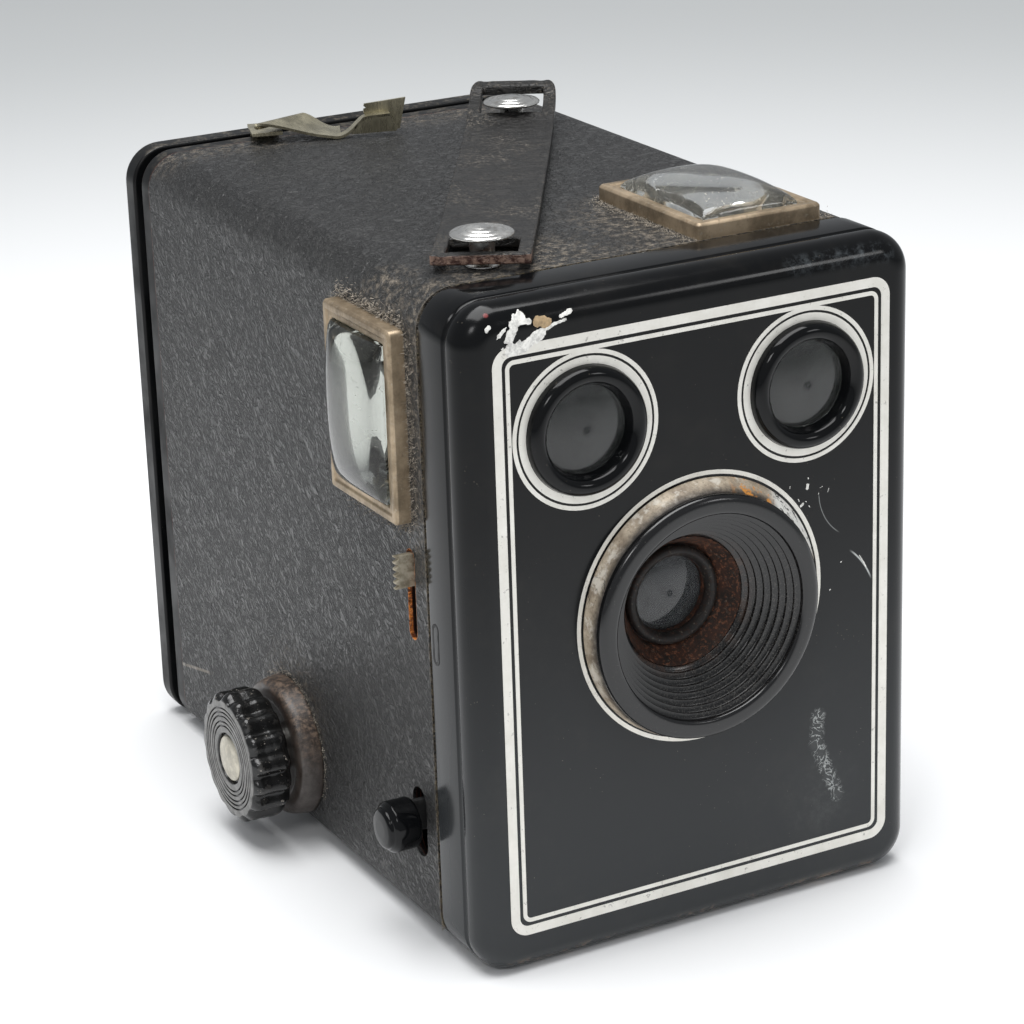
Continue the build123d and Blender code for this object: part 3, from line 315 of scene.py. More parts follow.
def leatherette(name, dusty=1.0):
    """Embossed black cloth: slanting wrinkles, glossy crests with a painted highlight, painted shade in the
    hollows, a little dust, frayed front edge.
    """
    m = Look(name, (0.02, 0.02, 0.02), 0.42, Specular_IOR_Level=0.6)
    run, across, through = (0.62, -0.50, -0.60), (0.30, -0.55, 0.78), (0.72, 0.67, 0.18)
    stretched = m.turned(((run, 300.0), (across, 860.0), (through, 640.0)))
    grain = m.noise(1.0, 3, 0.55, 1.0, vector=stretched)
    ridge = abs(m.noise(0.85, 3, 0.55, 1.6, vector=stretched) - 0.5)
    pebble = m.cells(900, "SMOOTH_F1")
    relief = grain + m.span(ridge, 0.0, 0.10, 0.0, 0.6)
    relief = relief - m.span(pebble, 0.0, 0.8) * 0.22
    cloud = m.noise(38, 5, 0.65)
    hollow_shade_paint = m.fade(relief, 0.55, 0.95)
    flecks = m.fade(m.cells(1250), 0.06, 0.13)
    flecks = flecks * m.span(m.noise(120, 4), 0.50, 0.66, 0.0, 0.42 * dusty)
    up = m.span(m.facing((0, 0, 1)), 0.3, 0.9)
    by_top = m.blob((16.0, -33.0, 103.6), 23.0, 0.55) * up
    by_side = m.blob((-38.2, -41.0, 84.0), 17.0, 0.6)
    by_boss = m.blob((-38.2, 3.0, 22.0), 14.0, 0.5)
    by_strap = m.blob((-16.0, -41.0, 103.6), 17.0, 0.7) * up
    by_rear = m.span(m.axis(1), 0.040, 0.0505) * up
    heavy = by_top | by_side * 0.55 | by_boss * 0.45 | by_strap
    heavy = heavy | by_rear * 0.8
    by_seam = m.span(m.axis(1), -0.0415, -0.0450) * m.span(m.axis(2), 0.052, 0.072)
    over_frame = m.blob((-38.2, -36.0, 99.5), 9.0, 0.6)
    by_stud = m.blob(tuple(mid("handle_stud_front") + Vector((0, 0, -4.0))), 8.5, 0.3) * up
    heavy = heavy | by_seam * 0.9 | over_frame | by_stud
    drift = heavy * m.span(m.noise(760, 7, 0.85), 0.47, 0.62) * (0.62 * dusty)
    front_edge = m.fade(m.axis(1), -0.04725, -0.0468)
    fray = front_edge * m.span(m.noise(900, 5, 0.75), 0.44, 0.56)
    base = m.mix(m.span(cloud, 0.35, 0.7), (0.0100, 0.0102, 0.0105), (0.0185, 0.0182, 0.0175))
    # Near black where the relief is low: painted shade in the grain's hollows.
    base = m.mix(hollow_shade_paint * 0.75, base, (0.004, 0.004, 0.004))
    # Paler on the high crests of the relief: a painted highlight.
    base = m.mix(m.span(relief, 0.90, 1.22, 0.0, 0.28), base, (0.070, 0.068, 0.064))
    color = m.mix(flecks, base, (0.24, 0.22, 0.19))
    color = m.mix(drift, color, (0.33, 0.275, 0.21))
    color = m.mix(fray * 0.45, color, (0.24, 0.20, 0.15))
    rusty_wall = m.mix(m.span(m.noise(900, 4, 0.75), 0.42, 0.56), (0.16, 0.045, 0.012), (0.80, 0.28, 0.06))
    color = m.mix(slot_wall(m), color, rusty_wall)
    across_back = 0.0232 + m.axis(1) * -0.215
    line = m.fade(abs(m.axis(2) - across_back), 0.00012, 0.0004)
    scrape = m.blob((-38.2, 47.0, 13.2), 14.0, 0.2) * line
    color = m.mix(scrape * m.span(m.noise(300, 3), 0.38, 0.5, 0.0, 0.7), color, (0.30, 0.26, 0.21))
    return m.finish(color, m.span(relief, 0.5, 1.3, 0.52, 0.27) + drift * 0.4, relief, 0.42, 1.0)


def plated(name, color=(0.40, 0.335, 0.235), rough=0.42, metal=0.85, stain=1.0):
    """Tarnished nickel or dull plated brass with speckled corrosion and pale dusty specks."""
    m = Look(name, color, rough, Metallic=metal)
    cloud = m.noise(120, 5, 0.7)
    spots = m.span(m.noise(900, 4, 0.75), 0.56, 0.68)
    brown = spots * m.span(m.noise(200, 3), 0.42, 0.62, 0.0, 0.75 * stain)
    brushed = m.noise(1.0, 3, 0.6, vector=m.scaled((3000, 3000, 420)))
    dark = tuple(c * 0.62 for c in color)
    light = tuple(min(1.0, c * 1.35 + 0.04) for c in color)
    base = m.mix(m.span(cloud, 0.35, 0.68), dark, light)
    base = m.mix(brown, base, (0.13, 0.085, 0.045))
    base = m.mix(m.span(m.noise(1500, 3, 0.7), 0.58, 0.7) * (0.5 * stain), base, (0.45, 0.40, 0.32))
    m.set("Metallic", m.math("SUBTRACT", metal, brown * 0.6, clamp=True))
    return m.finish(base, m.span(brushed, 0.3, 0.7, rough * 0.75, rough * 1.2) + brown * 0.25,
                    brushed * 0.4 + brown, 0.02, 0.5)


def aluminium(name):
    """Bright turned aluminium with dull patches."""
    m = Look(name, (0.76, 0.75, 0.72), 0.24, Metallic=1.0)
    color = m.mix(m.span(m.noise(500, 4, 0.7), 0.5, 0.75), (0.80, 0.79, 0.76), (0.48, 0.45, 0.40))
    return m.finish(color, m.span(m.noise(300, 4), 0.3, 0.7, 0.16, 0.36), m.noise(900, 3), 0.012, 0.4)


def lines_look():
    """Silver paint of the trim lines, worn through in places."""
    m = Look("silver_lines", (0.62, 0.60, 0.55), 0.36, Metallic=0.25)
    worn = m.span(m.noise(750, 4, 0.75), 0.60, 0.68)
    tone = m.mix(m.noise(240, 4, 0.7), (0.66, 0.64, 0.57), (0.95, 0.93, 0.88))
    m.set("Base Color", m.mix(worn * 0.55, tone, (0.10, 0.09, 0.08)))
    m.set("Roughness", m.span(m.noise(400, 3), 0.3, 0.7, 0.28, 0.5))
    return m.mat


def lens_space(m):
    """Distance from the lens axis and the direction round it, as sockets."""
    center = Vector((mid("ribbed_hood").x, 0, mid("ribbed_hood").z)) * MM
    flat = m.vmath("MULTIPLY", m.vmath("SUBTRACT", m.pos, center), (1, 0, 1))
    return m.vmath("LENGTH", flat), m.vmath("DOT_PRODUCT", m.vmath("NORMALIZE", flat), (-0.71, 0, 0.71))


def skirt_look():
    """Sloped skirt of the lens mount: dirty cream, darker by the rim, chalky and paler on the side facing
    the light (partly painted light), rusted and flaked at one side.
    """
    m = Look("skirt_beige", (0.42, 0.36, 0.28), 0.5, Metallic=0.1)
    lit = lens_space(m)[1]
    cloud = m.noise(260, 5, 0.72)
    fine = m.noise(1900, 4, 0.8)
    base = m.mix(m.span(cloud, 0.3, 0.7), (0.25, 0.195, 0.14), (0.60, 0.51, 0.39))
    base = m.mix(m.span(fine, 0.50, 0.66, 0.0, 0.55), base, (0.16, 0.125, 0.09))
    toward_rim = m.fade(m.axis(1) + m.noise(300, 4, 0.7) * 0.0012, -0.0636, -0.0619)
    base = m.mix(toward_rim * m.span(fine, 0.15, 0.55, 0.7, 1.0), base, (0.030, 0.024, 0.020))
    # Pale patches only on the side that faces the light: chalky deposit together with painted light.
    chalk_and_painted_light = m.span(lit, 0.05, 0.55) * m.span(m.noise(340, 4, 0.7), 0.50, 0.62, 0.0, 0.75)
    base = m.mix(chalk_and_painted_light * (1.0 - toward_rim), base, (0.74, 0.70, 0.62))
    cut = m.noise(1.0, 3, 0.6, 0.6, vector=m.scaled((520, 700, 160)))
    cut = m.fade(abs(cut - 0.5), 0.004, 0.012)
    base = m.mix(cut * m.span(m.noise(120, 3), 0.52, 0.6), base, (0.02, 0.017, 0.015))
    rust = m.blob((8.2, -63.0, 68.6), 5.0, 0.5) * m.span(m.noise(520, 4, 0.7), 0.50, 0.56)
    base = m.mix(rust, base, (0.62, 0.26, 0.05))
    flaked = m.blob((16.6, -62.0, 63.0), 8.0, 0.35)
    base = m.mix(flaked, base, (0.82, 0.81, 0.77))
    holes = flaked * m.span(m.noise(800, 3, 0.7, 0.8), 0.56, 0.60)
    base = m.mix(holes, base, (0.012, 0.012, 0.013))
    return m.finish(base, m.span(fine, 0.3, 0.7, 0.34, 0.66), fine * 0.5 + rust * 0.7, 0.025, 0.5)


def hood_look():
    """Glossy black rim and ribbed throat, with pale dust on the lower ribs."""
    m = Look("hood_black", (0.006, 0.006, 0.0065), 0.24, Specular_IOR_Level=0.55)
    far, lit = lens_space(m)
    inside = m.fade(far, 0.0158, 0.0162)
    fine = m.noise(4200, 3, 0.8)
    low = m.fade(lit, -0.95, 0.25)
    grit = m.span(fine, 0.52, 0.64) * (inside * (0.02 + low * 0.30))
    rim_grit = (1.0 - inside) * m.span(m.cells(1500), 0.05, 0.10, 0.35, 0.0)
    deep = m.span(m.axis(1), -0.0592, -0.0570) * m.span(m.noise(420, 5, 0.7), 0.42, 0.62)
    color = m.mix(grit | rim_grit, (0.006, 0.006, 0.0065), (0.27, 0.255, 0.23))
    color = m.mix(deep * 0.5, color, (0.085, 0.040, 0.022))
    return m.finish(color, m.span(inside, 0.0, 1.0, 0.17, 0.20) + grit * 0.3, fine, 0.0012, 0.2)


def rusty(name, base=(0.020, 0.014, 0.011), amount=1.0):
    """Dark steel with red-brown rust and a little dust on it."""
    m = Look(name, base, 0.62)
    coarse = m.noise(330, 6, 0.72)
    fine = m.noise(1700, 5, 0.8)
    color = m.mix(m.span(coarse, 0.40, 0.60, 0.0, amount), base, (0.050, 0.021, 0.013))
    color = m.mix(m.span(fine, 0.52, 0.62, 0.0, 0.85 * amount), color, (0.26, 0.10, 0.050))
    color = m.mix(m.span(m.noise(1300, 4, 0.8), 0.58, 0.68, 0.0, 0.45), color, (0.26, 0.22, 0.17))
    return m.finish(color, m.span(fine, 0.3, 0.7, 0.45, 0.8), coarse + fine * 0.6, 0.06, 0.7)


def slide_look():
    """The time slide: plated tab outside, rusted strip inside its slot."""
    m = Look("slide_plated", (0.40, 0.36, 0.27), 0.40, Metallic=0.6)
    coarse = m.noise(700, 5, 0.75)
    inside = m.span(m.axis(0), -0.0379, -0.0374)
    tone = m.mix(m.span(coarse, 0.35, 0.65), (0.26, 0.225, 0.16), (0.52, 0.47, 0.37))
    strip = m.mix(m.span(coarse, 0.44, 0.58), (0.10, 0.030, 0.010), (0.75, 0.24, 0.04))
    m.set("Metallic", 0.6 * (1.0 - inside))
    return m.finish(m.mix(inside, tone, strip), m.span(coarse, 0.3, 0.7, 0.34, 0.62), coarse, 0.03, 0.5)


def coated(name, color, rough=0.6):
    """Plain painted or fluffy matter with fine mottling."""
    m = Look(name, color, rough)
    light = tuple(min(1.0, c * 1.25) for c in color)
    dark = tuple(c * 0.7 for c in color)
    tone = m.mix(m.span(m.noise(800, 4, 0.75), 0.35, 0.65), dark, light)
    sheen = m.span(m.noise(1100, 3), 0.3, 0.7, rough * 0.85, min(1.0, rough * 1.25))
    return m.finish(tone, sheen, m.noise(1500, 3), 0.02, 0.4)


def plain_metal(name, color, rough, metal=1.0):
    """Metal of one colour with faint mottling."""
    m = Look(name, color, rough, Metallic=metal)
    tone = m.mix(m.span(m.noise(400, 4, 0.7), 0.35, 0.7), tuple(c * 0.6 for c in color), color)
    sheen = m.span(m.noise(700, 3), 0.3, 0.7, rough * 0.8, rough * 1.3)
    return m.finish(tone, sheen, m.noise(1200, 3), 0.01, 0.4)


def glass(name, tint=(0.93, 0.95, 0.93), dust=0.16, rough=0.03, dirt_color=(0.42, 0.41, 0.38), specks=0.8):
    """Old pressed glass with dust, specks and hair-thin wipe marks; shadow rays pass straight through."""
    m = Look(name, tint, rough, Transmission_Weight=1.0, IOR=1.5)
    fine = m.noise(900, 4, 0.7)
    film = m.span(m.noise(160, 4, 0.65), 0.30, 0.72) * dust
    dots = m.fade(m.cells(1100), 0.06, 0.12) * m.span(m.noise(300, 2), 0.46, 0.58, 0.0, specks)
    hairs = abs(m.noise(430, 2, 0.5, 1.4) - 0.5)
    hairs = m.fade(hairs, 0.003, 0.008) * m.span(m.noise(210, 3), 0.55, 0.62, 0.0, specks * 0.7)
    cover = film | dots | hairs
    dirt = m.node("BsdfDiffuse", Color=dirt_color)
    dirty = m.blend(cover, m.out_of(m.bsdf), m.out_of(dirt))
    in_shadow = m.out_of(m.node("LightPath"), "Is Shadow Ray")
    clear = m.node("BsdfTransparent", Color=tint)
    m.put(m.out.inputs["Surface"], m.blend(in_shadow, dirty, m.out_of(clear)))
    m.set("Roughness", m.span(fine, 0.3, 0.7, rough, rough * 3))
    return m.mat


def strap_look():
    """Black strap leather: creased across with painted shade in the crease grooves, dusty, with raw reddish
    cut edges.
    """
    m = Look("strap_leather", (0.016, 0.0155, 0.015), 0.4, Specular_IOR_Level=0.35)
    stretched = m.turned((((0.52, 0.85, 0), 900.0), ((0.85, -0.52, 0), 300.0), ((0, 0, 1), 500.0)))
    crease = m.noise(1.0, 4, 0.6, 1.3, vector=stretched)
    ridge = abs(crease - 0.5)
    fine = m.noise(1700, 4, 0.8)
    dust = m.span(fine, 0.50, 0.66) * m.span(m.noise(110, 4), 0.42, 0.65, 0.04, 0.55)
    color = m.mix(m.span(crease, 0.35, 0.7), (0.010, 0.0098, 0.0095), (0.024, 0.023, 0.022))
    # Near black along the bottoms of the creases: painted shade.
    color = m.mix(m.span(ridge, 0.0, 0.02, 0.45, 0.0), color, (0.006, 0.006, 0.006))
    color = m.mix(dust, color, (0.27, 0.235, 0.19))
    raw = m.edges(0.4, 0.02, 0.2)
    side = m.fade(m.facing((0, 0, 1)), 0.25, 0.6)
    front_end = side * m.blob((-26.0, -44.5, 105.6), 9.5, 0.2)
    color = m.mix(raw * m.span(m.noise(600, 4), 0.38, 0.6, 0.10, 0.6), color, (0.10, 0.055, 0.038))
    hide = m.mix(m.span(m.noise(900, 5, 0.8), 0.42, 0.6), (0.060, 0.026, 0.020), (0.26, 0.17, 0.13))
    color = m.mix(front_end, color, hide)
    return m.finish(color, m.span(crease, 0.3, 0.7, 0.32, 0.5) + dust * 0.3,
                    crease + m.span(ridge, 0.0, 0.06, 0.0, 0.5), 0.22, 0.9)


def knob_look():
    """Moulded black knob: glossy chipped flutes and a grey, rubbed face with dark rings."""
    m = Look("knob_black", (0.008, 0.008, 0.008), 0.16)
    fine = m.noise(1500, 5, 0.8)
    off = m.off_axis(Vector((0, mid("winder_knob").y, mid("winder_knob").z)) * MM)
    front = m.fade(m.axis(0), lo("winder_knob").x * MM + 0.0002, lo("winder_knob").x * MM + 0.0005)
    front = front * m.fade(off, 0.0096, 0.0099)
    worn = m.span(off, 0.0098, 0.0108) * m.span(m.noise(420, 4, 0.7), 0.54, 0.62, 0.0, 0.45)
    chips = m.span(m.noise(900, 4, 0.8), 0.63, 0.68) * m.span(off, 0.0095, 0.0105, 0.0, 0.9)
    face = m.mix(m.span(m.noise(500, 5, 0.75), 0.35, 0.65), (0.13, 0.128, 0.122), (0.27, 0.262, 0.25))
    color = m.mix(worn, (0.008, 0.008, 0.008), (0.085, 0.08, 0.075))
    color = m.mix(chips, color, (0.42, 0.38, 0.33))
    color = m.mix(front, color, face)
    return m.finish(color, 0.13 + (front * 0.32 + chips * 0.3), fine + m.noise(380, 3), 0.05, 0.6)


def rim_look():
    """Black enamel on the rolled rims, rubbed through to copper-red steel along its edges."""
    m = enamel("rim_enamel", rough=0.36)
    rub = m.edges(0.45, 0.03, 0.22)
    rub = rub * m.span(m.noise(240, 5, 0.7), 0.38, 0.55, 0.05, 0.9)
    up = m.span(m.facing((0, 0, 1)), 0.5, 0.95)
    dust = up * m.span(m.noise(700, 5, 0.75), 0.48, 0.66, 0.0, 0.35)
    color = m.mix(dust, m.dusty, (0.20, 0.17, 0.13))
    color = m.mix(rub, color, (0.16, 0.055, 0.035))
    m.set("Base Color", color)
    return m.mat


def boss_look():
    """Dark, dirty drum under the winder, dusty and paler on its upper side, where the paleness is also a
    painted highlight.
    """
    m = Look("boss_dark", (0.05, 0.035, 0.028), 0.36)
    fine = m.noise(1300, 5, 0.8)
    dirt = m.span(m.noise(330, 5, 0.7), 0.36, 0.58)
    color = m.mix(dirt, (0.062, 0.052, 0.046), (0.030, 0.022, 0.018))
    # Paler on the upper side: dust, and a painted highlight as well.
    up = m.span(m.facing((0, 0, 1)), -0.2, 0.8)
    color = m.mix(up * m.span(fine, 0.44, 0.62, 0.0, 0.7), color, (0.24, 0.165, 0.115))
    return m.finish(color, m.span(fine, 0.3, 0.7, 0.26, 0.5), fine, 0.03, 0.5)


LOOKS = {
    "front": front_enamel(),
    "bead": enamel("bead_enamel", rough=0.07).mat,
    "rim": rim_look(),
    "cover": leatherette("leatherette"),
    "cover_back": leatherette("leatherette_back", 0.6),
    "strap": strap_look(),
    "beige": plated("plated_beige", (0.335, 0.255, 0.165), 0.44, 0.6),
    "nickel": plated("nickel_tarnished", (0.50, 0.455, 0.32), 0.30, 0.9, 0.12),
    "alu": aluminium("aluminium_turned"),
    "lines": lines_look(),
    "skirt": skirt_look(),
    "slide": slide_look(),
    "hood": hood_look(),
    "annulus": rusty("rusty_annulus"),
    "ring": rusty("lens_ring_dark", (0.008, 0.0075, 0.007), 0.12),
    "chip_white": coated("paint_white", (0.80, 0.79, 0.75), 0.5),
    "chip_tan": coated("primer_tan", (0.42, 0.30, 0.17), 0.7),
    "fluff": coated("dust_fluff", (0.52, 0.46, 0.38), 0.9),
    "fray": coated("frayed_cloth", (0.30, 0.24, 0.15), 0.9),
    "recess": coated("recess_dark", (0.004, 0.004, 0.004), 0.5),
    "blade": plain_metal("blade_blackened", (0.03, 0.031, 0.033), 0.32, 0.6),
    "lens": glass("lens_glass_clear", (0.34, 0.35, 0.36), 0.13, 0.02, (0.30, 0.31, 0.32), 0.05),
    "steel": plain_metal("bright_steel", (0.50, 0.49, 0.46), 0.34),
    "inner": plain_metal("inner_black", (0.012, 0.012, 0.012), 0.75, 0.0),
    "objective": glass("objective_glass", (0.45, 0.47, 0.46), 0.10, 0.06, (0.20, 0.205, 0.20), 0.35),
    "dome_side": glass("dome_glass_side", (0.51, 0.53, 0.485), 0.06, 0.012, (0.42, 0.42, 0.37), 0.7),
    "dome": glass("dome_glass", (0.95, 0.965, 0.95), 0.06, 0.015, (0.50, 0.48, 0.42), 0.9),
    "mirror": plain_metal("mirror_silver", (0.50, 0.51, 0.47), 0.10),
    "mirror_side": plain_metal("mirror_dull", (0.15, 0.16, 0.145), 0.22),
    "knob": knob_look(),
    "rivet": plain_metal("rivet_ivory", (0.62, 0.58, 0.48), 0.38, 0.5),
    "boss": boss_look(),
    "ruby": glass("ruby_celluloid", (0.55, 0.02, 0.015), 0.06, 0.12),
}

LOOK_NODES = {
    "rim": "body_shell rear_door take_up_spool",
    "cover": "wrap_covering",
    "cover_back": "base_covering door_covering",
    "front": "front_plate",
    "lines": "line_trim",
    "skirt": "collar_ring",
    "hood": "ribbed_hood",
    "annulus": "lens_annulus",
    "ring": "lens_ring",
    "lens": "lens_glass",
    "inner": "shutter_plate shutter_lever slide_guides side_finder_housing top_finder_housing "
             "carrier_frame light_cone",
    "steel": "blade_pivot lever_pivot hinge_pin winder_sleeve winder_shaft lower_roller upper_roller "
             "roller_pins spool_pins",
    "blade": "shutter_blade",
    "bead": "lever_knob finder_bezel_left finder_bezel_right",
    "slide": "time_slide",
    "objective": "finder_objective_left finder_objective_right",
    "mirror_side": "side_finder_mirror",
    "mirror": "top_finder_mirror",
    "beige": "side_window_frame top_window_frame",
    "dome_side": "side_window_lens",
    "dome": "top_window_lens",
    "alu": "handle_stud_front handle_stud_rear",
    "strap": "handle_strap",
    "nickel": "latch_foot latch_clip window_ring",
    "ruby": "ruby_window",
    "boss": "winder_boss",
    "knob": "winder_knob",
    "rivet": "winder_rivet",
}
NODE_LOOK = {node: look for look, nodes in LOOK_NODES.items() for node in nodes.split()}
BEVELS = {"body_shell": 0.25, "rear_door": 0.2, "latch_foot": 0.1, "time_slide": 0.08, "shutter_lever": 0.15}
WEIGHTED = ("wrap_covering", "base_covering", "body_shell", "rear_door", "door_covering")


def bevelled(obj, width, angle=40):
    """Rounds a piece's sharp edges by a width in millimetres."""
    bevel = obj.modifiers.new("bevel", "BEVEL")
    bevel.width = width * MM
    bevel.segments = 3
    bevel.limit_method = "ANGLE"
    bevel.angle_limit = math.radians(angle)


def dress(name, obj):
    """Gives a CAD node its material and smooth, softly bevelled shading."""
    obj.data.materials.clear()
    obj.data.materials.append(LOOKS[NODE_LOOK[name]])
    weld = obj.modifiers.new("weld", "WELD")
    weld.merge_threshold = 2e-6
    if name in BEVELS:
        bevelled(obj, BEVELS[name])
    split = obj.modifiers.new("edges", "EDGE_SPLIT")
    split.split_angle = math.radians(32)
    if name in WEIGHTED:
        obj.modifiers.new("normals", "WEIGHTED_NORMAL")
    obj.data.polygons.foreach_set("use_smooth", [True] * len(obj.data.polygons))


for node_name, node_obj in NODES.items():
    dress(node_name, node_obj)


# ----------------------------------------------------------------- geometry
def piece(name, bm, look, body, stands_for=(), angle=32):
    """Turns a bmesh in millimetres into a finished piece that rides on a body."""
    bmesh.ops.remove_doubles(bm, verts=bm.verts, dist=SAME_POINT)
    bmesh.ops.recalc_face_normals(bm, faces=bm.faces)
    bmesh.ops.scale(bm, vec=(MM, MM, MM), verts=bm.verts)
    mesh = bpy.data.meshes.new(name)
    bm.to_mesh(mesh)
    bm.free()
    mesh.polygons.foreach_set("use_smooth", [True] * len(mesh.polygons))
    mesh.set_sharp_from_angle(angle=math.radians(angle))
    obj = bpy.data.objects.new(name, mesh)
    bpy.context.scene.collection.objects.link(obj)
    mesh.materials.append(LOOKS[look])
    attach(obj, body)
    if stands_for:
        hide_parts(*stands_for)
    return obj


def soften(points, radius, steps=3, closed=False):
    """Rounds the corners of a profile."""
    count = len(points)
    out = []
    for i, p in enumerate(points):
        if not closed and i in (0, count - 1):
            out.append(tuple(p))
            continue
        here, before, after = Vector(p), Vector(points[i - 1]), Vector(points[(i + 1) % count])
        reach_a = min(radius, (before - here).length * 0.45)
        reach_b = min(radius, (after - here).length * 0.45)
        start = here + (before - here).normalized() * reach_a
        end = here + (after - here).normalized() * reach_b
        for k in range(steps + 1):
            t = k / steps
            out.append(tuple(start * (1 - t) ** 2 + here * 2 * t * (1 - t) + end * t * t))
    return out


def arc(center, radii, start, end, steps):
    """Points of an elliptical arc between two angles in degrees."""
    turns = [math.radians(start + (end - start) * k / steps) for k in range(steps + 1)]
    return [(center[0] + radii[0] * math.cos(a), center[1] + radii[1] * math.sin(a)) for a in turns]


def circle(x, z, r, y, count):
    """Points of a circle in a plane of constant y."""
    return [(x + r * math.cos(TAU * k / count), y, z + r * math.sin(TAU * k / count)) for k in range(count)]


def band(bm, a, b):
    """Quads between two closed rows of vertices."""
    for i in range(len(a)):
        j = (i + 1) % len(a)
        bm.faces.new((a[i], a[j], b[j], b[i]))


def rings_to_mesh(bm, rings, closed=True):
    """Joins rings of equal length with quads."""
    rows = [[bm.verts.new(p) for p in ring] for ring in rings]
    for a, b in zip(rows, rows[1:]):
        band(bm, a, b)
    if closed:
        band(bm, rows[-1], rows[0])
    return rows


def turned(name, center, axis, profile, look, body, stands_for=(), segs=192, ripple=None,
           angle=32):
    """A turned piece: profile is a closed loop of (radius, place along the axis)."""
    bm = bmesh.new()
    rings = []
    for radius, along in profile:
        ring = []
        for k in range(segs):
            turn = TAU * k / segs
            r = max(radius, 1e-5) * (ripple(turn, radius, along) if ripple else 1)
            a, b = r * math.cos(turn), r * math.sin(turn)
            if axis == "x":
                ring.append((along, center[1] + a, center[2] + b))
            elif axis == "y":
                ring.append((center[0] + a, along, center[2] + b))
            else:
                ring.append((center[0] + a, center[1] + b, along))
        rings.append(ring)
    rings_to_mesh(bm, rings)
    bmesh.ops.dissolve_degenerate(bm, edges=bm.edges, dist=SAME_POINT)
    return piece(name, bm, look, body, stands_for, angle=angle)


def corners(w, h, r, steps):
    """Four quarter arcs that make a rounded rectangle round the origin."""
    out = []
    for su, sv, start in ((1, 1, 0), (-1, 1, 90), (-1, -1, 180), (1, -1, 270)):
        out += arc((su * (w / 2 - r), sv * (h / 2 - r)), (r, r), start, start + 90, steps)
    return out


def rounded(w, h, r, y, cz=0.0):
    """Points of a rounded rectangle in a plane of constant y."""
    return [(a, y, cz + b) for a, b in corners(w, h, r, 14)]


# Front plate: flange, groove and rounded shoulder, as one pressed dish.
plate_lo, plate_hi = lo("front_plate"), hi("front_plate")
plate_w = plate_hi.x - plate_lo.x
plate_h = plate_hi.z - plate_lo.z
plate_front, plate_back = plate_lo.y, plate_hi.y
plate_r = 6.2
lens_x, lens_z = mid("collar_ring").x, mid("collar_ring").z
finder_x, finder_z = mid("finder_bezel_right").x, mid("finder_bezel_right").z
shoulder = 4.0
panel_t = 0.9
hood_hole = 18.15
neck_hole = 7.6


def loop_edges(bm, row):
    """The edges between the vertices of a closed row."""
    return [bm.edges.get((row[k], row[(k + 1) % len(row)])) for k in range(len(row))]


def plate_ring(inset, y):
    """The plate's outline, moved inwards, at one depth."""
    return rounded(plate_w - 2 * inset, plate_h - 2 * inset, max(plate_r - inset, 1.6), y, plate_h / 2)


bm = bmesh.new()
outer = [(0.25, plate_back), (0.05, plate_back - 0.1), (0.0, plate_back - 0.4), (0.0, -55.15),
         (0.04, -55.3), (0.22, -55.45), (0.34, -55.6), (0.38, -55.9), (0.34, -56.2), (0.18, -56.4),
         (0.05, -56.55), (0.0, -56.75)]
outer += arc((shoulder, plate_front + shoulder), (-shoulder, -shoulder), 0, 90, 12)
outer.append((shoulder + 0.35, plate_front))
inner = [(shoulder + 0.6, plate_front + panel_t), (2.4, plate_front + 2.4), (1.15, plate_front + 4.4),
         (0.95, plate_back)]
out_rows = rings_to_mesh(bm, [plate_ring(*p) for p in outer], closed=False)
in_rows = rings_to_mesh(bm, [plate_ring(*p) for p in inner], closed=False)
band(bm, out_rows[0], in_rows[-1])
hole_edges = {plate_front: [], plate_front + panel_t: []}
for x, z, r in ((lens_x, lens_z, hood_hole), (-finder_x, finder_z, neck_hole),
                (finder_x, finder_z, neck_hole)):
    rows = [[bm.verts.new(p) for p in circle(x, z, r, y, 96)] for y in hole_edges]
    band(bm, *rows)
    for y, row in zip(hole_edges, rows):
        hole_edges[y] += loop_edges(bm, row)
for y, row in ((plate_front, out_rows[-1]), (plate_front + panel_t, in_rows[0])):
    bmesh.ops.triangle_fill(bm, use_beauty=True, use_dissolve=False,
                            edges=loop_edges(bm, row) + hole_edges[y])
piece("front_shell", bm, "front", "housing", ("front_plate",))

# Lens mount: sloped skirt, black rim with the ribbed throat, retaining ring.
lens_c = (lens_x, 0, lens_z)
skirt_top = lo("collar_ring").y
skirt_base = (hi("collar_ring").x - lo("collar_ring").x) / 2
rim_r = skirt_base - 0.75
ring_center = Vector((mid("line_trim").x + 0.1, mid("line_trim").z + 0.1))
base_r = skirt_base + 0.4
bm = bmesh.new()
loft = []
for r, y in soften([(hood_hole, plate_front - 0.01), (base_r, plate_front - 0.01),
                    (base_r - 0.03, plate_front - 0.45), (rim_r + 0.14, skirt_top + 0.3),
                    (rim_r, skirt_top), (hood_hole, skirt_top)], 0.3, closed=True):
    rise = (y - plate_front) / (skirt_top - plate_front) if r > hood_hole + 0.2 else 1.0
    x = ring_center.x + (lens_x - ring_center.x) * rise
    z = ring_center.y + (lens_z - ring_center.y) * rise
    loft.append(circle(x, z, r, y, 224))
rings_to_mesh(bm, loft)
piece("lens_skirt", bm, "skirt", "housing", ("collar_ring",))

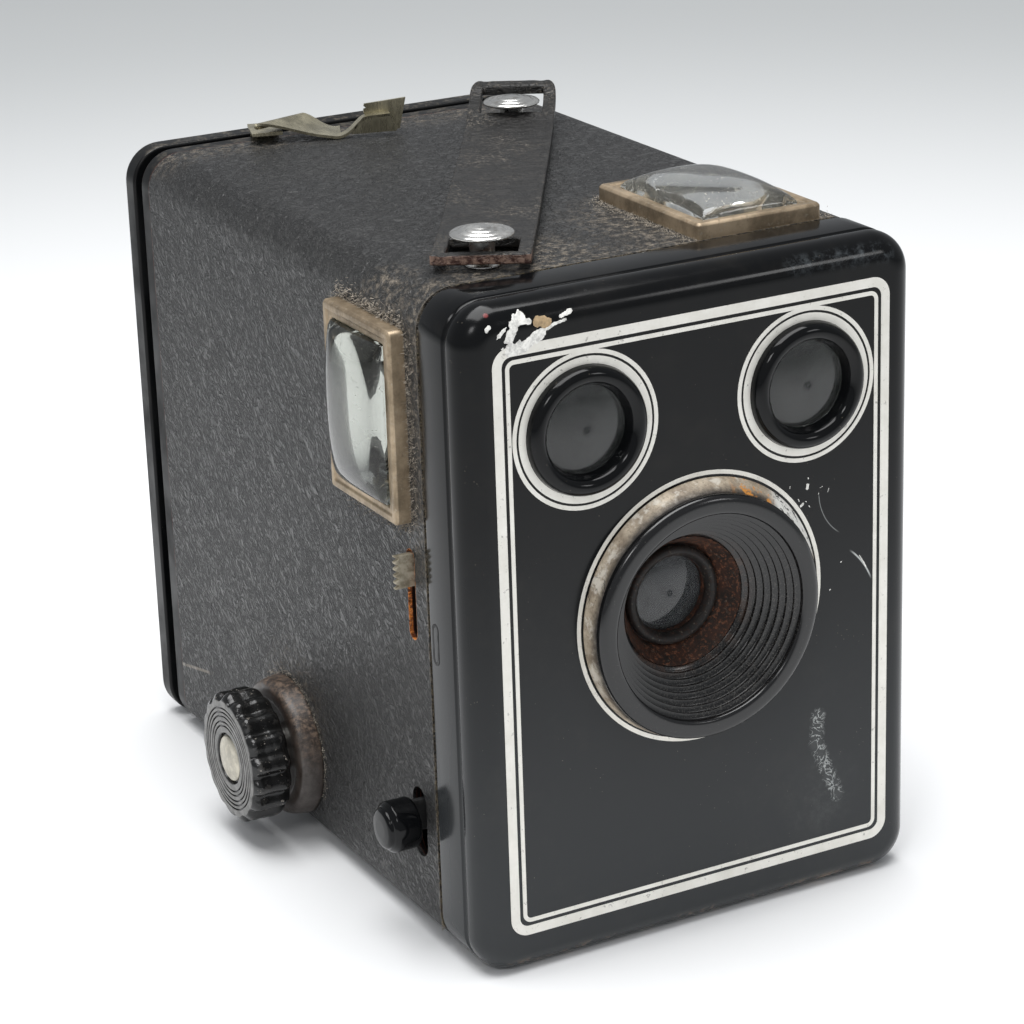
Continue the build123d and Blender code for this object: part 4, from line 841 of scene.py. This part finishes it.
lip = lo("ribbed_hood").y
annulus = lo("lens_annulus").y
mouth, throat, steps = 16.0, 10.2, 8
first_rib = 0.75
pitch = (annulus - lip - first_rib) / steps
drop = (mouth - throat) / steps
profile = [(hood_hole - 0.05, lip + 2.4), (hood_hole - 0.05, skirt_top - 0.02),
           (rim_r - 0.04, skirt_top - 0.02)]
profile += arc((rim_r - 1.35, lip + 0.95), (1.31, -0.95), 0, 90, 8)
profile += [(mouth + 0.8, lip + 0.01), (mouth + 0.38, lip + 0.06), (mouth + 0.12, lip + 0.24)]
for k in range(steps):
    r, y = mouth - drop * k, lip + first_rib + pitch * k
    profile += soften([(r + 0.03, y - 0.2), (r - 0.05, y + 0.02), (r + 0.10, y + pitch * 0.20),
                       (r + 0.24, y + pitch * 0.34), (r + 0.10, y + pitch * 0.60),
                       (r - drop + 0.1, y + pitch * 0.78)], 0.12, 2)
profile += [(throat, annulus - 0.05), (throat, annulus + 0.75), (throat + 1.3, annulus + 0.75),
            (throat + 2.1, annulus - 0.6), (hood_hole - 0.9, lip + 5.2), (hood_hole - 0.1, lip + 4.8)]
turned("lens_hood", lens_c, "y", profile, "hood", "housing", ("ribbed_hood",), 192,
       angle=50)
ring_r = (hi("lens_ring").x - lo("lens_ring").x) / 2
seat = hi("lens_ring").y
profile = soften([(6.02, seat), (ring_r, seat), (ring_r, seat - 0.9), (ring_r - 0.3, seat - 1.4),
                  (ring_r - 0.9, seat - 1.6), (ring_r - 1.4, seat - 1.25), (6.02, seat - 0.5)], 0.22,
                 closed=True)
turned("lens_retainer", lens_c, "y", profile, "ring", "housing", ("lens_ring",), 128)

# Finder beads round the small lenses.
bead_r = (hi("finder_bezel_right").x - lo("finder_bezel_right").x) / 2
for side, sign in (("left", -1), ("right", 1)):
    center = (sign * finder_x, 0, finder_z)
    profile = [(bead_r, plate_front), (bead_r, plate_front - 0.35)]
    profile += arc((8.3, plate_front - 0.35), (1.42, -1.6), 8, 172, 15)[1:-1]
    profile += [(6.85, plate_front - 0.2), (6.7, plate_front + 0.2), (6.7, plate_front + 1.35),
                (neck_hole - 0.03, plate_front + 1.35), (neck_hole - 0.03, plate_front)]
    turned(f"finder_bead_{side}", center, "y", profile, "bead", "housing", (f"finder_bezel_{side}",), 144)


def window(tag, origin, u, v, n, lens_look):
    """Metal frame with a sloped inner lip, holding a square lens with a domed top."""
    short = 22.0
    long_ = 29.6
    lip_w = 2.5
    height = 2.5
    clearance = 0.12
    squareness = 2.3

    def at(a, b, c):
        return origin + u * a + v * b + n * c

    bm = bmesh.new()
    profile = soften([(0, 0.0), (0, height - 0.4), (0.4, height), (1.25, height), (1.5, height - 0.28),
                      (lip_w - 0.3, height - 0.2), (lip_w, height - 0.45), (lip_w, 0.0)], 0.14, 3,
                     closed=False)
    rings = []
    for inset, c in profile:
        outline = corners(short - 2 * inset, long_ - 2 * inset, max(0.9 - inset, 0.25), 5)
        rings.append([at(a, b, c) for a, b in outline])
    rings_to_mesh(bm, rings)
    piece(f"{tag}_frame_metal", bm, "beige", "housing", (f"{tag}_window_frame",))
    bm = bmesh.new()
    w, h = short - 2 * lip_w - clearance, long_ - 2 * lip_w - clearance
    edge_h = height + 0.15
    rise = 3.05
    cols, rows = 28, 36
    grid = []
    for j in range(rows + 1):
        row = []
        for i in range(cols + 1):
            a, b = w * (i / cols - 0.5), h * (j / rows - 0.5)
            crown = (1 - abs(2 * a / w) ** squareness) * (1 - abs(2 * b / h) ** squareness)
            row.append(bm.verts.new(at(a, b, edge_h + rise * crown ** 0.5)))
        grid.append(row)
    for j in range(rows):
        for i in range(cols):
            bm.faces.new((grid[j][i], grid[j][i + 1], grid[j + 1][i + 1], grid[j + 1][i]))
    border = grid[0][:] + [grid[j][cols] for j in range(1, rows + 1)]
    border += [grid[rows][i] for i in range(cols - 1, -1, -1)] + [grid[j][0] for j in range(rows - 1, 0, -1)]
    base = [bm.verts.new(v.co - n * ((v.co - origin).dot(n) - 0.1)) for v in border]
    band(bm, border, base)
    bm.faces.new(base)
    lens = piece(f"{tag}_lens_dome", bm, lens_look, "housing", (f"{tag}_window_lens",), angle=40)
    bevelled(lens, 0.35)


side_origin = Vector((hi("side_window_frame").x, *mid("side_window_frame").yz))
top_origin = Vector((*mid("top_window_frame").xy, lo("top_window_frame").z))
window("side", side_origin, Vector((0, -1, 0)), Vector((0, 0, 1)), Vector((-1, 0, 0)), "dome_side")
window("top", top_origin, Vector((1, 0, 0)), Vector((0, 1, 0)), Vector((0, 0, 1)), "dome")

# Mushroom studs, as (radius, height) over the roof and over the head's underside.
STUD_FOOT = ((0.0, -2.4), (1.1, -2.4), (1.1, 0), (2.6, 0), (2.7, 0.12), (2.6, 0.4), (2.3, 0.5), (1.9, 1.2),
             (1.85, 2.4))
STUD_HEAD = ((2.1, -0.3), (3.4, -0.12), (4.45, 0.15), (4.75, 0.35), (4.78, 0.55), (4.5, 0.78), (4.0, 0.90),
             (3.75, 0.92), (3.6, 0.86), (3.45, 0.98), (2.9, 1.16), (2.7, 1.18), (2.55, 1.12), (2.4, 1.24),
             (1.9, 1.36), (1.7, 1.36), (1.55, 1.30), (1.4, 1.40), (0.8, 1.50), (0.0, 1.54))
roof = hi("wrap_covering").z
for side in ("front", "rear"):
    node = f"handle_stud_{side}"
    head = hi(node).z - 1.0
    profile = [(r, roof + h) for r, h in STUD_FOOT] + [(r, head + h) for r, h in STUD_HEAD]
    turned(f"stud_{side}_turned", mid(node), "z", profile, "alu", "housing", (node,), 128,
           angle=60)


def strap_mesh():
    """The strap: two end slots, rounded tail, embossed border line and creases."""
    front, rear = mid("handle_stud_front").xy, mid("handle_stud_rear").xy
    span = (rear - front).length
    along = (rear - front).normalized()
    across = Vector((-along.y, along.x))
    thick = 1.6
    half = 7.35
    line = [(-4.5, 1.25), (4.0, 0.75), (18.0, 0.4), (60.0, 0.4), (76.0, 0.9), (86.0, 2.6), (93.8, 4.9)]
    slots = ((-2.5, 6.8), (span - 2.5, span + 6.8))
    slot_half = 5.25
    station_gap, close = 0.75, 0.3
    tail_length, tail_squeeze = 5.0, 0.16
    border_from, border_to, border_depth = 1.3, 2.3, 0.10

    def height(s):
        for (a, za), (b, zb) in zip(line, line[1:]):
            if s <= b:
                t = (s - a) / (b - a)
                t = t * t * (3 - 2 * t) if za != zb else t
                return za + (zb - za) * t
        return line[-1][1]

    cuts = {line[0][0], line[-1][0]} | {x for slot in slots for x in slot}
    steps = [line[0][0] + k * station_gap for k in range(1, 131)]
    steps = [s for s in steps if s < line[-1][0] - close and all(abs(s - c) > close for c in cuts)]
    stations = sorted(cuts.union(steps))
    lanes = [-half, -half + 0.35, -6.6, -6.0, -slot_half, -4.2, -3.0, -1.8, -0.6, 0.6, 1.8, 3.0, 4.2,
             slot_half, 6.0, 6.6, half - 0.35, half]
    bm = bmesh.new()
    grid = {}
    for i, s in enumerate(stations):
        tail = max(0.0, (s - (line[-1][0] - tail_length)) / tail_length)
        squeeze = 1 - tail_squeeze * tail * tail * tail
        for j, t in enumerate(lanes):
            wave = 0.12 * noise.noise(Vector((s * 0.21, t * 0.25, 3.0)))
            sink = border_depth if border_from < half - abs(t) < border_to else 0.0
            base = height(s) + max(wave, -0.05)
            place = front + along * s + across * (t * squeeze)
            grid[i, j] = (Vector((place.x, place.y, roof + base)), sink)
    upper, lower = {}, {}
    for key, (p, sink) in grid.items():
        upper[key] = bm.verts.new(p + Vector((0, 0, thick - sink)))
        lower[key] = bm.verts.new(p)

    def solid(i, j):
        if not (0 <= i < len(stations) - 1 and 0 <= j < len(lanes) - 1):
            return False
        s = (stations[i] + stations[i + 1]) / 2
        t = (lanes[j] + lanes[j + 1]) / 2
        return not any(a < s < b and abs(t) < slot_half for a, b in slots)

    for i in range(len(stations) - 1):
        for j in range(len(lanes) - 1):
            if not solid(i, j):
                continue
            a, b, c, d = (i, j), (i + 1, j), (i + 1, j + 1), (i, j + 1)
            bm.faces.new([upper[k] for k in (a, b, c, d)])
            bm.faces.new([lower[k] for k in (d, c, b, a)])
            for near, p, q in (((i - 1, j), d, a), ((i + 1, j), b, c), ((i, j - 1), a, b),
                               ((i, j + 1), c, d)):
                if not solid(*near):
                    bm.faces.new([lower[p], lower[q], upper[q], upper[p]])
    for v in [v for v in bm.verts if not v.link_faces]:
        bm.verts.remove(v)
    strap = piece("strap_leather_band", bm, "strap", "strap", ("handle_strap",), angle=50)
    bevelled(strap, 0.3, 50)


strap_mesh()

# Back latch: a strip folded over on the slant, with a finger bump, a flange and an upright tab.
CLIP_TURN = math.radians(18)
clip_origin = Vector((-7.2, 43.0, roof))
clip_run = Vector((math.cos(CLIP_TURN), -math.sin(CLIP_TURN), 0))
clip_back = Vector((math.sin(CLIP_TURN), math.cos(CLIP_TURN), 0))
CLIP_WIDE, CLIP_THICK = 7.6, 0.45
FOLD_S, FOLD_SLANT, FOLD_H = -13.4, 8.6, 3.85
VALLEY_S, VALLEY_H = 0.7, 0.62
BUMP_S, BUMP_END, BUMP_H = 5.3, 9.7, 3.65


def clip_at(along, back, height):
    return clip_origin + clip_run * along + clip_back * back + Vector((0, 0, height))


def slab(bm, outline, back, thick):
    """Upright plate in the strip's long plane, from a list of (along, height)."""
    near = [bm.verts.new(clip_at(a, back, h)) for a, h in outline]
    far = [bm.verts.new(clip_at(a, back + thick, h)) for a, h in outline]
    bm.faces.new(near)
    bm.faces.new(far[::-1])
    band(bm, near, far)


def leaf(bm, rows):
    """Thin bent sheet through rows of points, CLIP_THICK thick."""
    grid = [[bm.verts.new(p) for p in row] for row in rows]
    made = []
    for a, b in zip(grid, grid[1:]):
        for i in range(len(a) - 1):
            made.append(bm.faces.new((a[i], b[i], b[i + 1], a[i + 1])))
    bmesh.ops.recalc_face_normals(bm, faces=made)
    bmesh.ops.solidify(bm, geom=made, thickness=CLIP_THICK)


LANES = 12
rows = []
for lane in range(LANES + 1):
    back = CLIP_WIDE * lane / LANES
    fold = FOLD_S + FOLD_SLANT * back / CLIP_WIDE
    crest = FOLD_H - 0.45 * back / CLIP_WIDE
    valley = VALLEY_S + 0.10 * back
    turn_over = arc((fold + 0.55, crest - 0.6), (-0.55, 0.55), -90, 90, 6)
    row = [clip_at(along, back, height) for along, height in turn_over]
    for k in range(1, 15):
        t = k / 14
        ease = t + 0.10 * math.sin(TAU * t) * -0.5
        row.append(clip_at(fold + 0.6 + (valley - 0.9 - fold - 0.6) * t, back,
                           crest + (VALLEY_H + 0.1 - crest) * ease))
    for k in range(1, 5):
        t = k / 5
        row.append(clip_at(valley - 0.9 + 1.8 * t, back, VALLEY_H + 0.1 * (2 * t - 1) ** 2 - 0.02))
    rows.append(row)
bm = bmesh.new()
leaf(bm, rows)
rows = []
for lane in range(7):
    back = 2.2 * lane / 6
    row = []
    line = [(VALLEY_S + 0.4, VALLEY_H), (VALLEY_S + 1.3, VALLEY_H + 0.25), (VALLEY_S + 2.4, VALLEY_H + 1.0),
            (BUMP_S - 0.6, BUMP_H - 0.5), (BUMP_S + 0.3, BUMP_H), (BUMP_S + 1.5, BUMP_H + 0.1),
            (BUMP_END, BUMP_H + 0.25)]
    for along, height in soften(line, 0.7, 4):
        row.append(clip_at(along, back, height))
    rows.append(row)
leaf(bm, rows)
slab(bm, [(VALLEY_S + 2.3, 0.75), (VALLEY_S + 3.0, VALLEY_H + 1.5), (BUMP_S - 0.2, BUMP_H - 0.1),
          (BUMP_END, BUMP_H + 0.2), (11.0, 1.35), (10.6, 0.8)], 0.0, CLIP_THICK)
slab(bm, [(BUMP_S + 0.5, 3.4), (BUMP_S + 0.1, 3.9), (BUMP_S + 0.15, 4.5), (BUMP_S + 0.65, 4.7),
          (BUMP_S + 0.2, 5.0), (BUMP_S + 0.3, 5.4), (12.7, 6.05), (11.5, 0.75), (9.2, 0.75), (8.0, 3.4)],
     1.75, CLIP_THICK)
piece("latch_clip_bent", bm, "nickel", "latch", ("latch_clip",), angle=40)

# Winder: fluted knob, rivet and stepped boss.
knob_lo, knob_hi = lo("winder_knob"), hi("winder_knob")
knob_c = mid("winder_knob")
knob_r = (knob_hi.z - knob_lo.z) / 2
out_x, in_x = knob_lo.x, knob_hi.x
FLUTES, FLUTE_DEPTH, DENT_DEPTH = 17, 0.085, 0.012
FLUTES_FROM, FLUTES_FULL = 0.86, 0.10


def fluted(turn, radius, along):
    """Scallops between the ribs, deepest at the rim and running out towards both ends."""
    deep = max(0.0, min(1.0, (radius - knob_r * FLUTES_FROM) / (knob_r * FLUTES_FULL)))
    wave = (0.5 - 0.5 * math.cos(FLUTES * turn)) ** 1.4
    dents = DENT_DEPTH * noise.noise(Vector((math.cos(turn) * 4, math.sin(turn) * 4, along * 0.8)))
    return 1 - FLUTE_DEPTH * deep * wave + dents * deep


face_x = out_x + 0.3
profile = [(2.52, in_x - 0.1), (5.0, in_x - 0.1)]
profile += soften([(8.2, in_x - 0.1), (10.0, in_x - 0.1), (10.5, in_x - 0.5), (knob_r, in_x - 1.3),
                   (knob_r, in_x - 2.6), (knob_r - 0.15, in_x - 4.0), (knob_r, face_x + 1.2),
                   (knob_r - 0.25, face_x + 0.55), (10.0, face_x + 0.1)], 0.3)
profile.append((9.75, face_x))
for groove_r in (8.5, 7.8, 7.1, 6.2, 5.5):
    profile += [(groove_r + 0.17, face_x), (groove_r + 0.09, face_x + 0.28),
                (groove_r - 0.09, face_x + 0.28), (groove_r - 0.17, face_x)]
profile += soften([(4.6, face_x), (4.3, face_x + 0.1), (4.05, face_x + 0.8), (2.52, face_x + 0.8)], 0.12)
turned("winder_knob_fluted", knob_c, "x", profile, "knob", "winder", ("winder_knob",), FLUTES * 16, fluted,
       angle=45)
rivet_r = (hi("winder_rivet").z - lo("winder_rivet").z) / 2
profile = [(0.0, face_x + 1.1), (2.45, face_x + 1.1), (2.45, face_x + 0.8), (rivet_r, face_x + 0.8)]
profile += arc((0.0, face_x + 0.35), (rivet_r, -0.64), 0, 90, 8)
turned("winder_rivet_head", knob_c, "x", profile, "rivet", "winder", ("winder_rivet",), 96, angle=50)
boss_hi, boss_lo = hi("winder_boss"), lo("winder_boss")
boss_r = (boss_hi.z - boss_lo.z) / 2
profile = soften([(3.66, boss_hi.x), (boss_r, boss_hi.x), (boss_r - 0.1, boss_hi.x - 0.8),
                  (boss_r - 0.4, boss_lo.x + 1.2), (boss_r - 0.8, boss_lo.x + 0.3),
                  (boss_r - 1.6, boss_lo.x), (8.3, boss_lo.x), (7.5, boss_lo.x + 0.9),
                  (3.66, boss_lo.x + 0.9)], 0.35, closed=True)
turned("winder_boss_ring", mid("winder_boss"), "x", profile, "boss", "housing", ("winder_boss",), 160)

# Shutter lever's knob.
lever_lo, lever_hi = lo("lever_knob"), hi("lever_knob")
lever_r = (lever_hi.z - lever_lo.z) / 2
profile = soften([(0.0, lever_hi.x), (lever_r - 0.2, lever_hi.x), (lever_r, lever_hi.x - 0.4),
                  (lever_r, lever_lo.x + 1.5), (lever_r - 0.5, lever_lo.x + 0.95),
                  (lever_r - 0.75, lever_lo.x + 0.85), (lever_r - 0.85, lever_lo.x + 0.45),
                  (lever_r - 1.3, lever_lo.x + 0.15), (1.5, lever_lo.x + 0.02), (0.0, lever_lo.x + 0.01)],
                 0.22)
turned("lever_knob_turned", mid("lever_knob"), "x", profile, "bead", "lever", ("lever_knob",), 112,
       angle=50)

# Loose and chipped matter on the surfaces.
RANDOM = random.Random(20)


def plate_y(x, z):
    """Front surface of the plate over a point, shoulder included."""
    inset = min(plate_h - z, z, plate_w / 2 - abs(x))
    if inset >= shoulder:
        return plate_front
    return plate_front + shoulder - math.sqrt(max(0.0, shoulder ** 2 - (shoulder - inset) ** 2))


def chips(name, strokes, look, cell=0.13, thick=0.10, ragged=0.35):
    """Ragged paint flakes: everything within a wavering distance of the strokes (x, z, x, z, radius)."""
    bm = bmesh.new()
    x0 = min(min(s[0], s[2]) - s[4] for s in strokes) - 0.5
    x1 = max(max(s[0], s[2]) + s[4] for s in strokes) + 0.5
    z0 = min(min(s[1], s[3]) - s[4] for s in strokes) - 0.5
    z1 = max(max(s[1], s[3]) + s[4] for s in strokes) + 0.5

    def inside(x, z):
        coarse = noise.noise(Vector((x * 1.7, z * 1.7, 1.0)))
        fine = noise.noise(Vector((x * 5, z * 5, 4.0)))
        waver = ragged * coarse + 0.4 * ragged * fine
        for ax, az, bx, bz, r in strokes:
            a, b, p = Vector((ax, az)), Vector((bx, bz)), Vector((x, z))
            t = max(0.0, min(1.0, (p - a).dot(b - a) / max((b - a).length_squared, 1e-9)))
            if (p - a.lerp(b, t)).length < r * (1 + waver):
                return True
        return False

    verts = {}

    def corner(i, j):
        if (i, j) not in verts:
            x, z = x0 + i * cell, z0 + j * cell
            verts[i, j] = bm.verts.new((x, plate_y(x, z) - thick, z))
        return verts[i, j]

    for i in range(int((x1 - x0) / cell)):
        for j in range(int((z1 - z0) / cell)):
            if inside(x0 + (i + 0.5) * cell, z0 + (j + 0.5) * cell):
                bm.faces.new((corner(i, j), corner(i + 1, j), corner(i + 1, j + 1), corner(i, j + 1)))
    for _ in range(2):
        bmesh.ops.smooth_vert(bm, verts=[v for v in bm.verts if v.is_boundary], factor=0.5, use_axis_x=True,
                              use_axis_z=True)
    for v in bm.verts:
        v.co.y = plate_y(v.co.x, v.co.z) - thick
    walls = bmesh.ops.extrude_edge_only(bm, edges=[e for e in bm.edges if e.is_boundary])
    for v in walls["geom"]:
        if isinstance(v, bmesh.types.BMVert):
            v.co.y += thick + 0.03
    piece(name, bm, look, "housing", angle=60)


chips("paint_chip_white", [
    (-32.3, 99.5, -31.4, 100.3, 0.30), (-32.6, 99.2, -31.0, 100.6, 0.10), (-30.6, 98.9, -29.6, 101.0, 0.72),
    (-29.6, 101.0, -28.6, 101.6, 0.85), (-28.6, 101.1, -27.4, 100.9, 0.45), (-30.9, 98.7, -30.5, 99.9, 0.45),
    (-31.4, 98.5, -31.2, 98.7, 0.20), (-30.6, 97.2, -28.4, 97.5, 0.95), (-28.6, 97.3, -25.6, 98.9, 0.85),
    (-25.6, 98.9, -23.4, 99.9, 0.28), (-23.4, 99.9, -21.6, 100.2, 0.22), (-22.2, 100.8, -20.6, 101.3, 0.32),
    (-34.1, 100.7, -33.7, 101.0, 0.33), (-31.9, 97.6, -31.7, 97.7, 0.12),
], "chip_white")
chips("paint_chip_tan", [
    (-26.0, 100.6, -24.6, 100.4, 0.80), (-25.2, 100.0, -24.4, 99.9, 0.55),
], "chip_tan", thick=0.08)
chips("paint_flecks_lens", [
    (18.9, 67.0, 19.0, 67.5, 0.26), (19.1, 68.5, 19.1, 68.6, 0.12), (17.8, 64.4, 18.2, 64.7, 0.20),
    (17.5, 65.2, 17.3, 65.6, 0.08), (18.6, 65.0, 18.8, 64.9, 0.08), (19.2, 64.2, 19.4, 63.9, 0.07),
    (21.2, 66.6, 21.7, 66.8, 0.06), (22.8, 66.3, 22.6, 65.7, 0.06), (20.9, 65.6, 21.0, 65.9, 0.05),
    (15.8, 67.6, 15.9, 67.9, 0.08), (25.0, 53.9, 25.1, 54.0, 0.10), (23.0, 49.8, 23.1, 49.9, 0.09),
    (28.4, 54.3, 29.2, 53.0, 0.10), (29.2, 53.0, 29.6, 52.2, 0.12),
], "chip_white", cell=0.07, thick=0.03)


def fibres(name, roots, look, length, width):
    """Short loose hairs: each is a thin three-sided spike, bent once."""
    bm = bmesh.new()
    for root, way, spread in roots:
        aim = (way + Vector([RANDOM.uniform(-spread, spread) for _ in range(3)])).normalized()
        size = RANDOM.uniform(*length)
        bend = Vector([RANDOM.uniform(-0.4, 0.4) for _ in range(3)]) * size
        side = aim.cross(Vector((0.3, 0.5, 0.8))).normalized() * width
        other = aim.cross(side).normalized() * width
        around = (side, -side * 0.5 + other, -side * 0.5 - other)
        low = [bm.verts.new(root + d) for d in around]
        elbow = root + aim * size * 0.55 + bend * 0.3
        mid_ring = [bm.verts.new(elbow + d * 0.8) for d in around]
        tip = bm.verts.new(root + aim * size + bend)
        bm.faces.new(low[::-1])
        for k in range(3):
            n = (k + 1) % 3
            bm.faces.new((low[k], low[n], mid_ring[n], mid_ring[k]))
            bm.faces.new((mid_ring[k], mid_ring[n], tip))
    piece(name, bm, look, "housing", angle=180)


cover_x, cover_top, cover_front = lo("wrap_covering").x, hi("wrap_covering").z, lo("wrap_covering").y
roots = []
for _ in range(1500):
    along = RANDOM.uniform(3.0, cover_top - 6.0)
    roots.append((Vector((cover_x + RANDOM.uniform(0.05, 0.5), cover_front + 0.1, along)),
                  Vector((-0.1, -1, 0)), 0.8))
    across = RANDOM.uniform(cover_x + 6.0, -cover_x - 6.0)
    roots.append((Vector((across, cover_front + 0.1, cover_top - RANDOM.uniform(0.05, 0.5))),
                  Vector((0, -1, 0.05)), 0.8))
roots = [r for r in roots if r[0].z < cover_top - 0.02]
fibres("covering_fray", roots, "fray", length=(0.15, 0.62), width=0.03)


def frame_fluff(node, normal, count, reach):
    """Dust caught along the foot of a window frame."""
    low, high = lo(node), hi(node)
    which, base = (0, high.x) if normal.x < -0.5 else (2, low.z)
    flat = [i for i in range(3) if i != which]
    made = []
    for _ in range(count):
        side = RANDOM.randrange(4)
        t = RANDOM.random()
        out = abs(RANDOM.gauss(0, reach))
        p = Vector((0, 0, 0))
        run, fixed = flat if side < 2 else flat[::-1]
        p[run] = low[run] + (high[run] - low[run]) * t
        p[fixed] = low[fixed] - out if side % 2 == 0 else high[fixed] + out
        p[which] = base
        if p.y < cover_front + 0.3 or p.z > cover_top - 2.0 and which == 0:
            continue
        made.append((p, normal, 1.3))
    return made


fibres("dust_side_window", frame_fluff("side_window_frame", Vector((-1, 0, 0)), 1900, 1.2), "fluff",
       length=(0.2, 0.85), width=0.03)
fibres("dust_top_window", frame_fluff("top_window_frame", Vector((0, 0, 1)), 2200, 1.1), "fluff",
       length=(0.12, 0.5), width=0.035)
boss_ring = []
for _ in range(500):
    a = RANDOM.uniform(-0.6, math.pi + 0.5)
    r = boss_r + abs(RANDOM.gauss(0, 0.5))
    boss_ring.append((Vector((cover_x, mid("winder_boss").y + r * math.cos(a),
                              mid("winder_boss").z + r * math.sin(a))), Vector((-1, 0, 0)), 1.3))
fibres("dust_winder", boss_ring, "fluff", length=(0.12, 0.45), width=0.03)

# Small oval dent in the side of the front plate.
DENT_Y, DENT_Z, DENT_R, DENT_HALF = -49.9, 50.7, 0.95, 2.3
bm = bmesh.new()
rim_points = []
for k in range(48):
    a = TAU * k / 48
    end = DENT_HALF * (1 if math.sin(a) > 0 else -1)
    rim_points.append((DENT_R * math.cos(a), end + DENT_R * math.sin(a)))
dent_rings = []
for size, depth in ((1.0, 0.1), (1.0, -0.04), (0.8, -0.05), (0.62, 0.0), (0.3, 0.02)):
    dent_rings.append([(lo("front_plate").x - 0.01 + depth, DENT_Y + a * size,
                        DENT_Z + b * (1 - (1 - size) * 0.3)) for a, b in rim_points])
oval = rings_to_mesh(bm, dent_rings, closed=False)
bm.faces.new(oval[-1])
bm.faces.new(oval[0][::-1])
piece("plate_dent", bm, "recess", "housing", angle=60)

# ------------------------------------------------------ floor, light, camera
FLOOR_NEAR, FLOOR_FAR = (0.94, 0.945, 0.95), (0.60, 0.615, 0.615)
SKY, SKY_STRENGTH = (0.93, 0.96, 1.0, 1), 0.36
floor_bm = bmesh.new()
bmesh.ops.create_grid(floor_bm, x_segments=2, y_segments=2, size=6.0)
floor_mesh = bpy.data.meshes.new("floor")
floor_bm.to_mesh(floor_mesh)
floor_bm.free()
floor = bpy.data.objects.new("floor", floor_mesh)
bpy.context.scene.collection.objects.link(floor)
floor_look = Look("floor_white", (0.93, 0.935, 0.94), 0.6)
# Floor colour darkens with distance from the object: a painted falloff of the studio light.
painted_light_falloff = floor_look.span(floor_look.vmath("LENGTH", floor_look.pos), 0.15, 0.66)
floor_look.set("Base Color", floor_look.mix(painted_light_falloff, FLOOR_NEAR, FLOOR_FAR))
floor_mesh.materials.append(floor_look.mat)

world = bpy.data.worlds.new("studio")
bpy.context.scene.world = world
world.use_nodes = True
background = world.node_tree.nodes["Background"]
background.inputs["Color"].default_value = SKY
background.inputs["Strength"].default_value = SKY_STRENGTH


def softbox(name, place, target, size, power):
    """Rectangular area light aimed at a point; metres and watts."""
    data = bpy.data.lights.new(name, "AREA")
    data.shape = "RECTANGLE"
    data.size, data.size_y = size
    data.energy = power
    obj = bpy.data.objects.new(name, data)
    bpy.context.scene.collection.objects.link(obj)
    obj.location = place
    obj.rotation_euler = (Vector(target) - Vector(place)).to_track_quat("-Z", "Y").to_euler()


softbox("overhead", (-0.05, -0.02, 1.0), (0.0, 0.0, 0.03), (0.8, 0.8), 13.0)
softbox("left_front", (-0.75, -0.75, 0.85), (0, -0.02, 0.05), (0.26, 0.26), 2.0)
softbox("right_front", (0.65, -0.95, 0.55), (0, -0.05, 0.05), (0.20, 0.20), 0.7)

# The photo's camera, as worked out from the object's edges.
AZIMUTH, ELEVATION, ROLL = math.radians(-28.013), math.radians(19.995), math.radians(-1.927)
CAMERA_PLACE = Vector((-0.23309, -0.44092, 0.22985))
FOCAL_LENGTH = 113.46
forward = Vector((-math.sin(AZIMUTH) * math.cos(ELEVATION), math.cos(AZIMUTH) * math.cos(ELEVATION),
                  -math.sin(ELEVATION)))
right = forward.cross(Vector((0, 0, 1))).normalized()
up = right.cross(forward)
turned_right = right * math.cos(ROLL) + up * math.sin(ROLL)
turned_up = up * math.cos(ROLL) - right * math.sin(ROLL)
camera_data = bpy.data.cameras.new("camera")
camera_data.sensor_width = 36.0
camera_data.lens = FOCAL_LENGTH
camera_data.clip_start = 0.01
camera = bpy.data.objects.new("camera", camera_data)
bpy.context.scene.collection.objects.link(camera)
pose = Matrix((turned_right, turned_up, -forward)).transposed().to_4x4()
pose.translation = CAMERA_PLACE
camera.matrix_world = pose
bpy.context.scene.camera = camera
bpy.context.scene.view_settings.view_transform = "Standard"
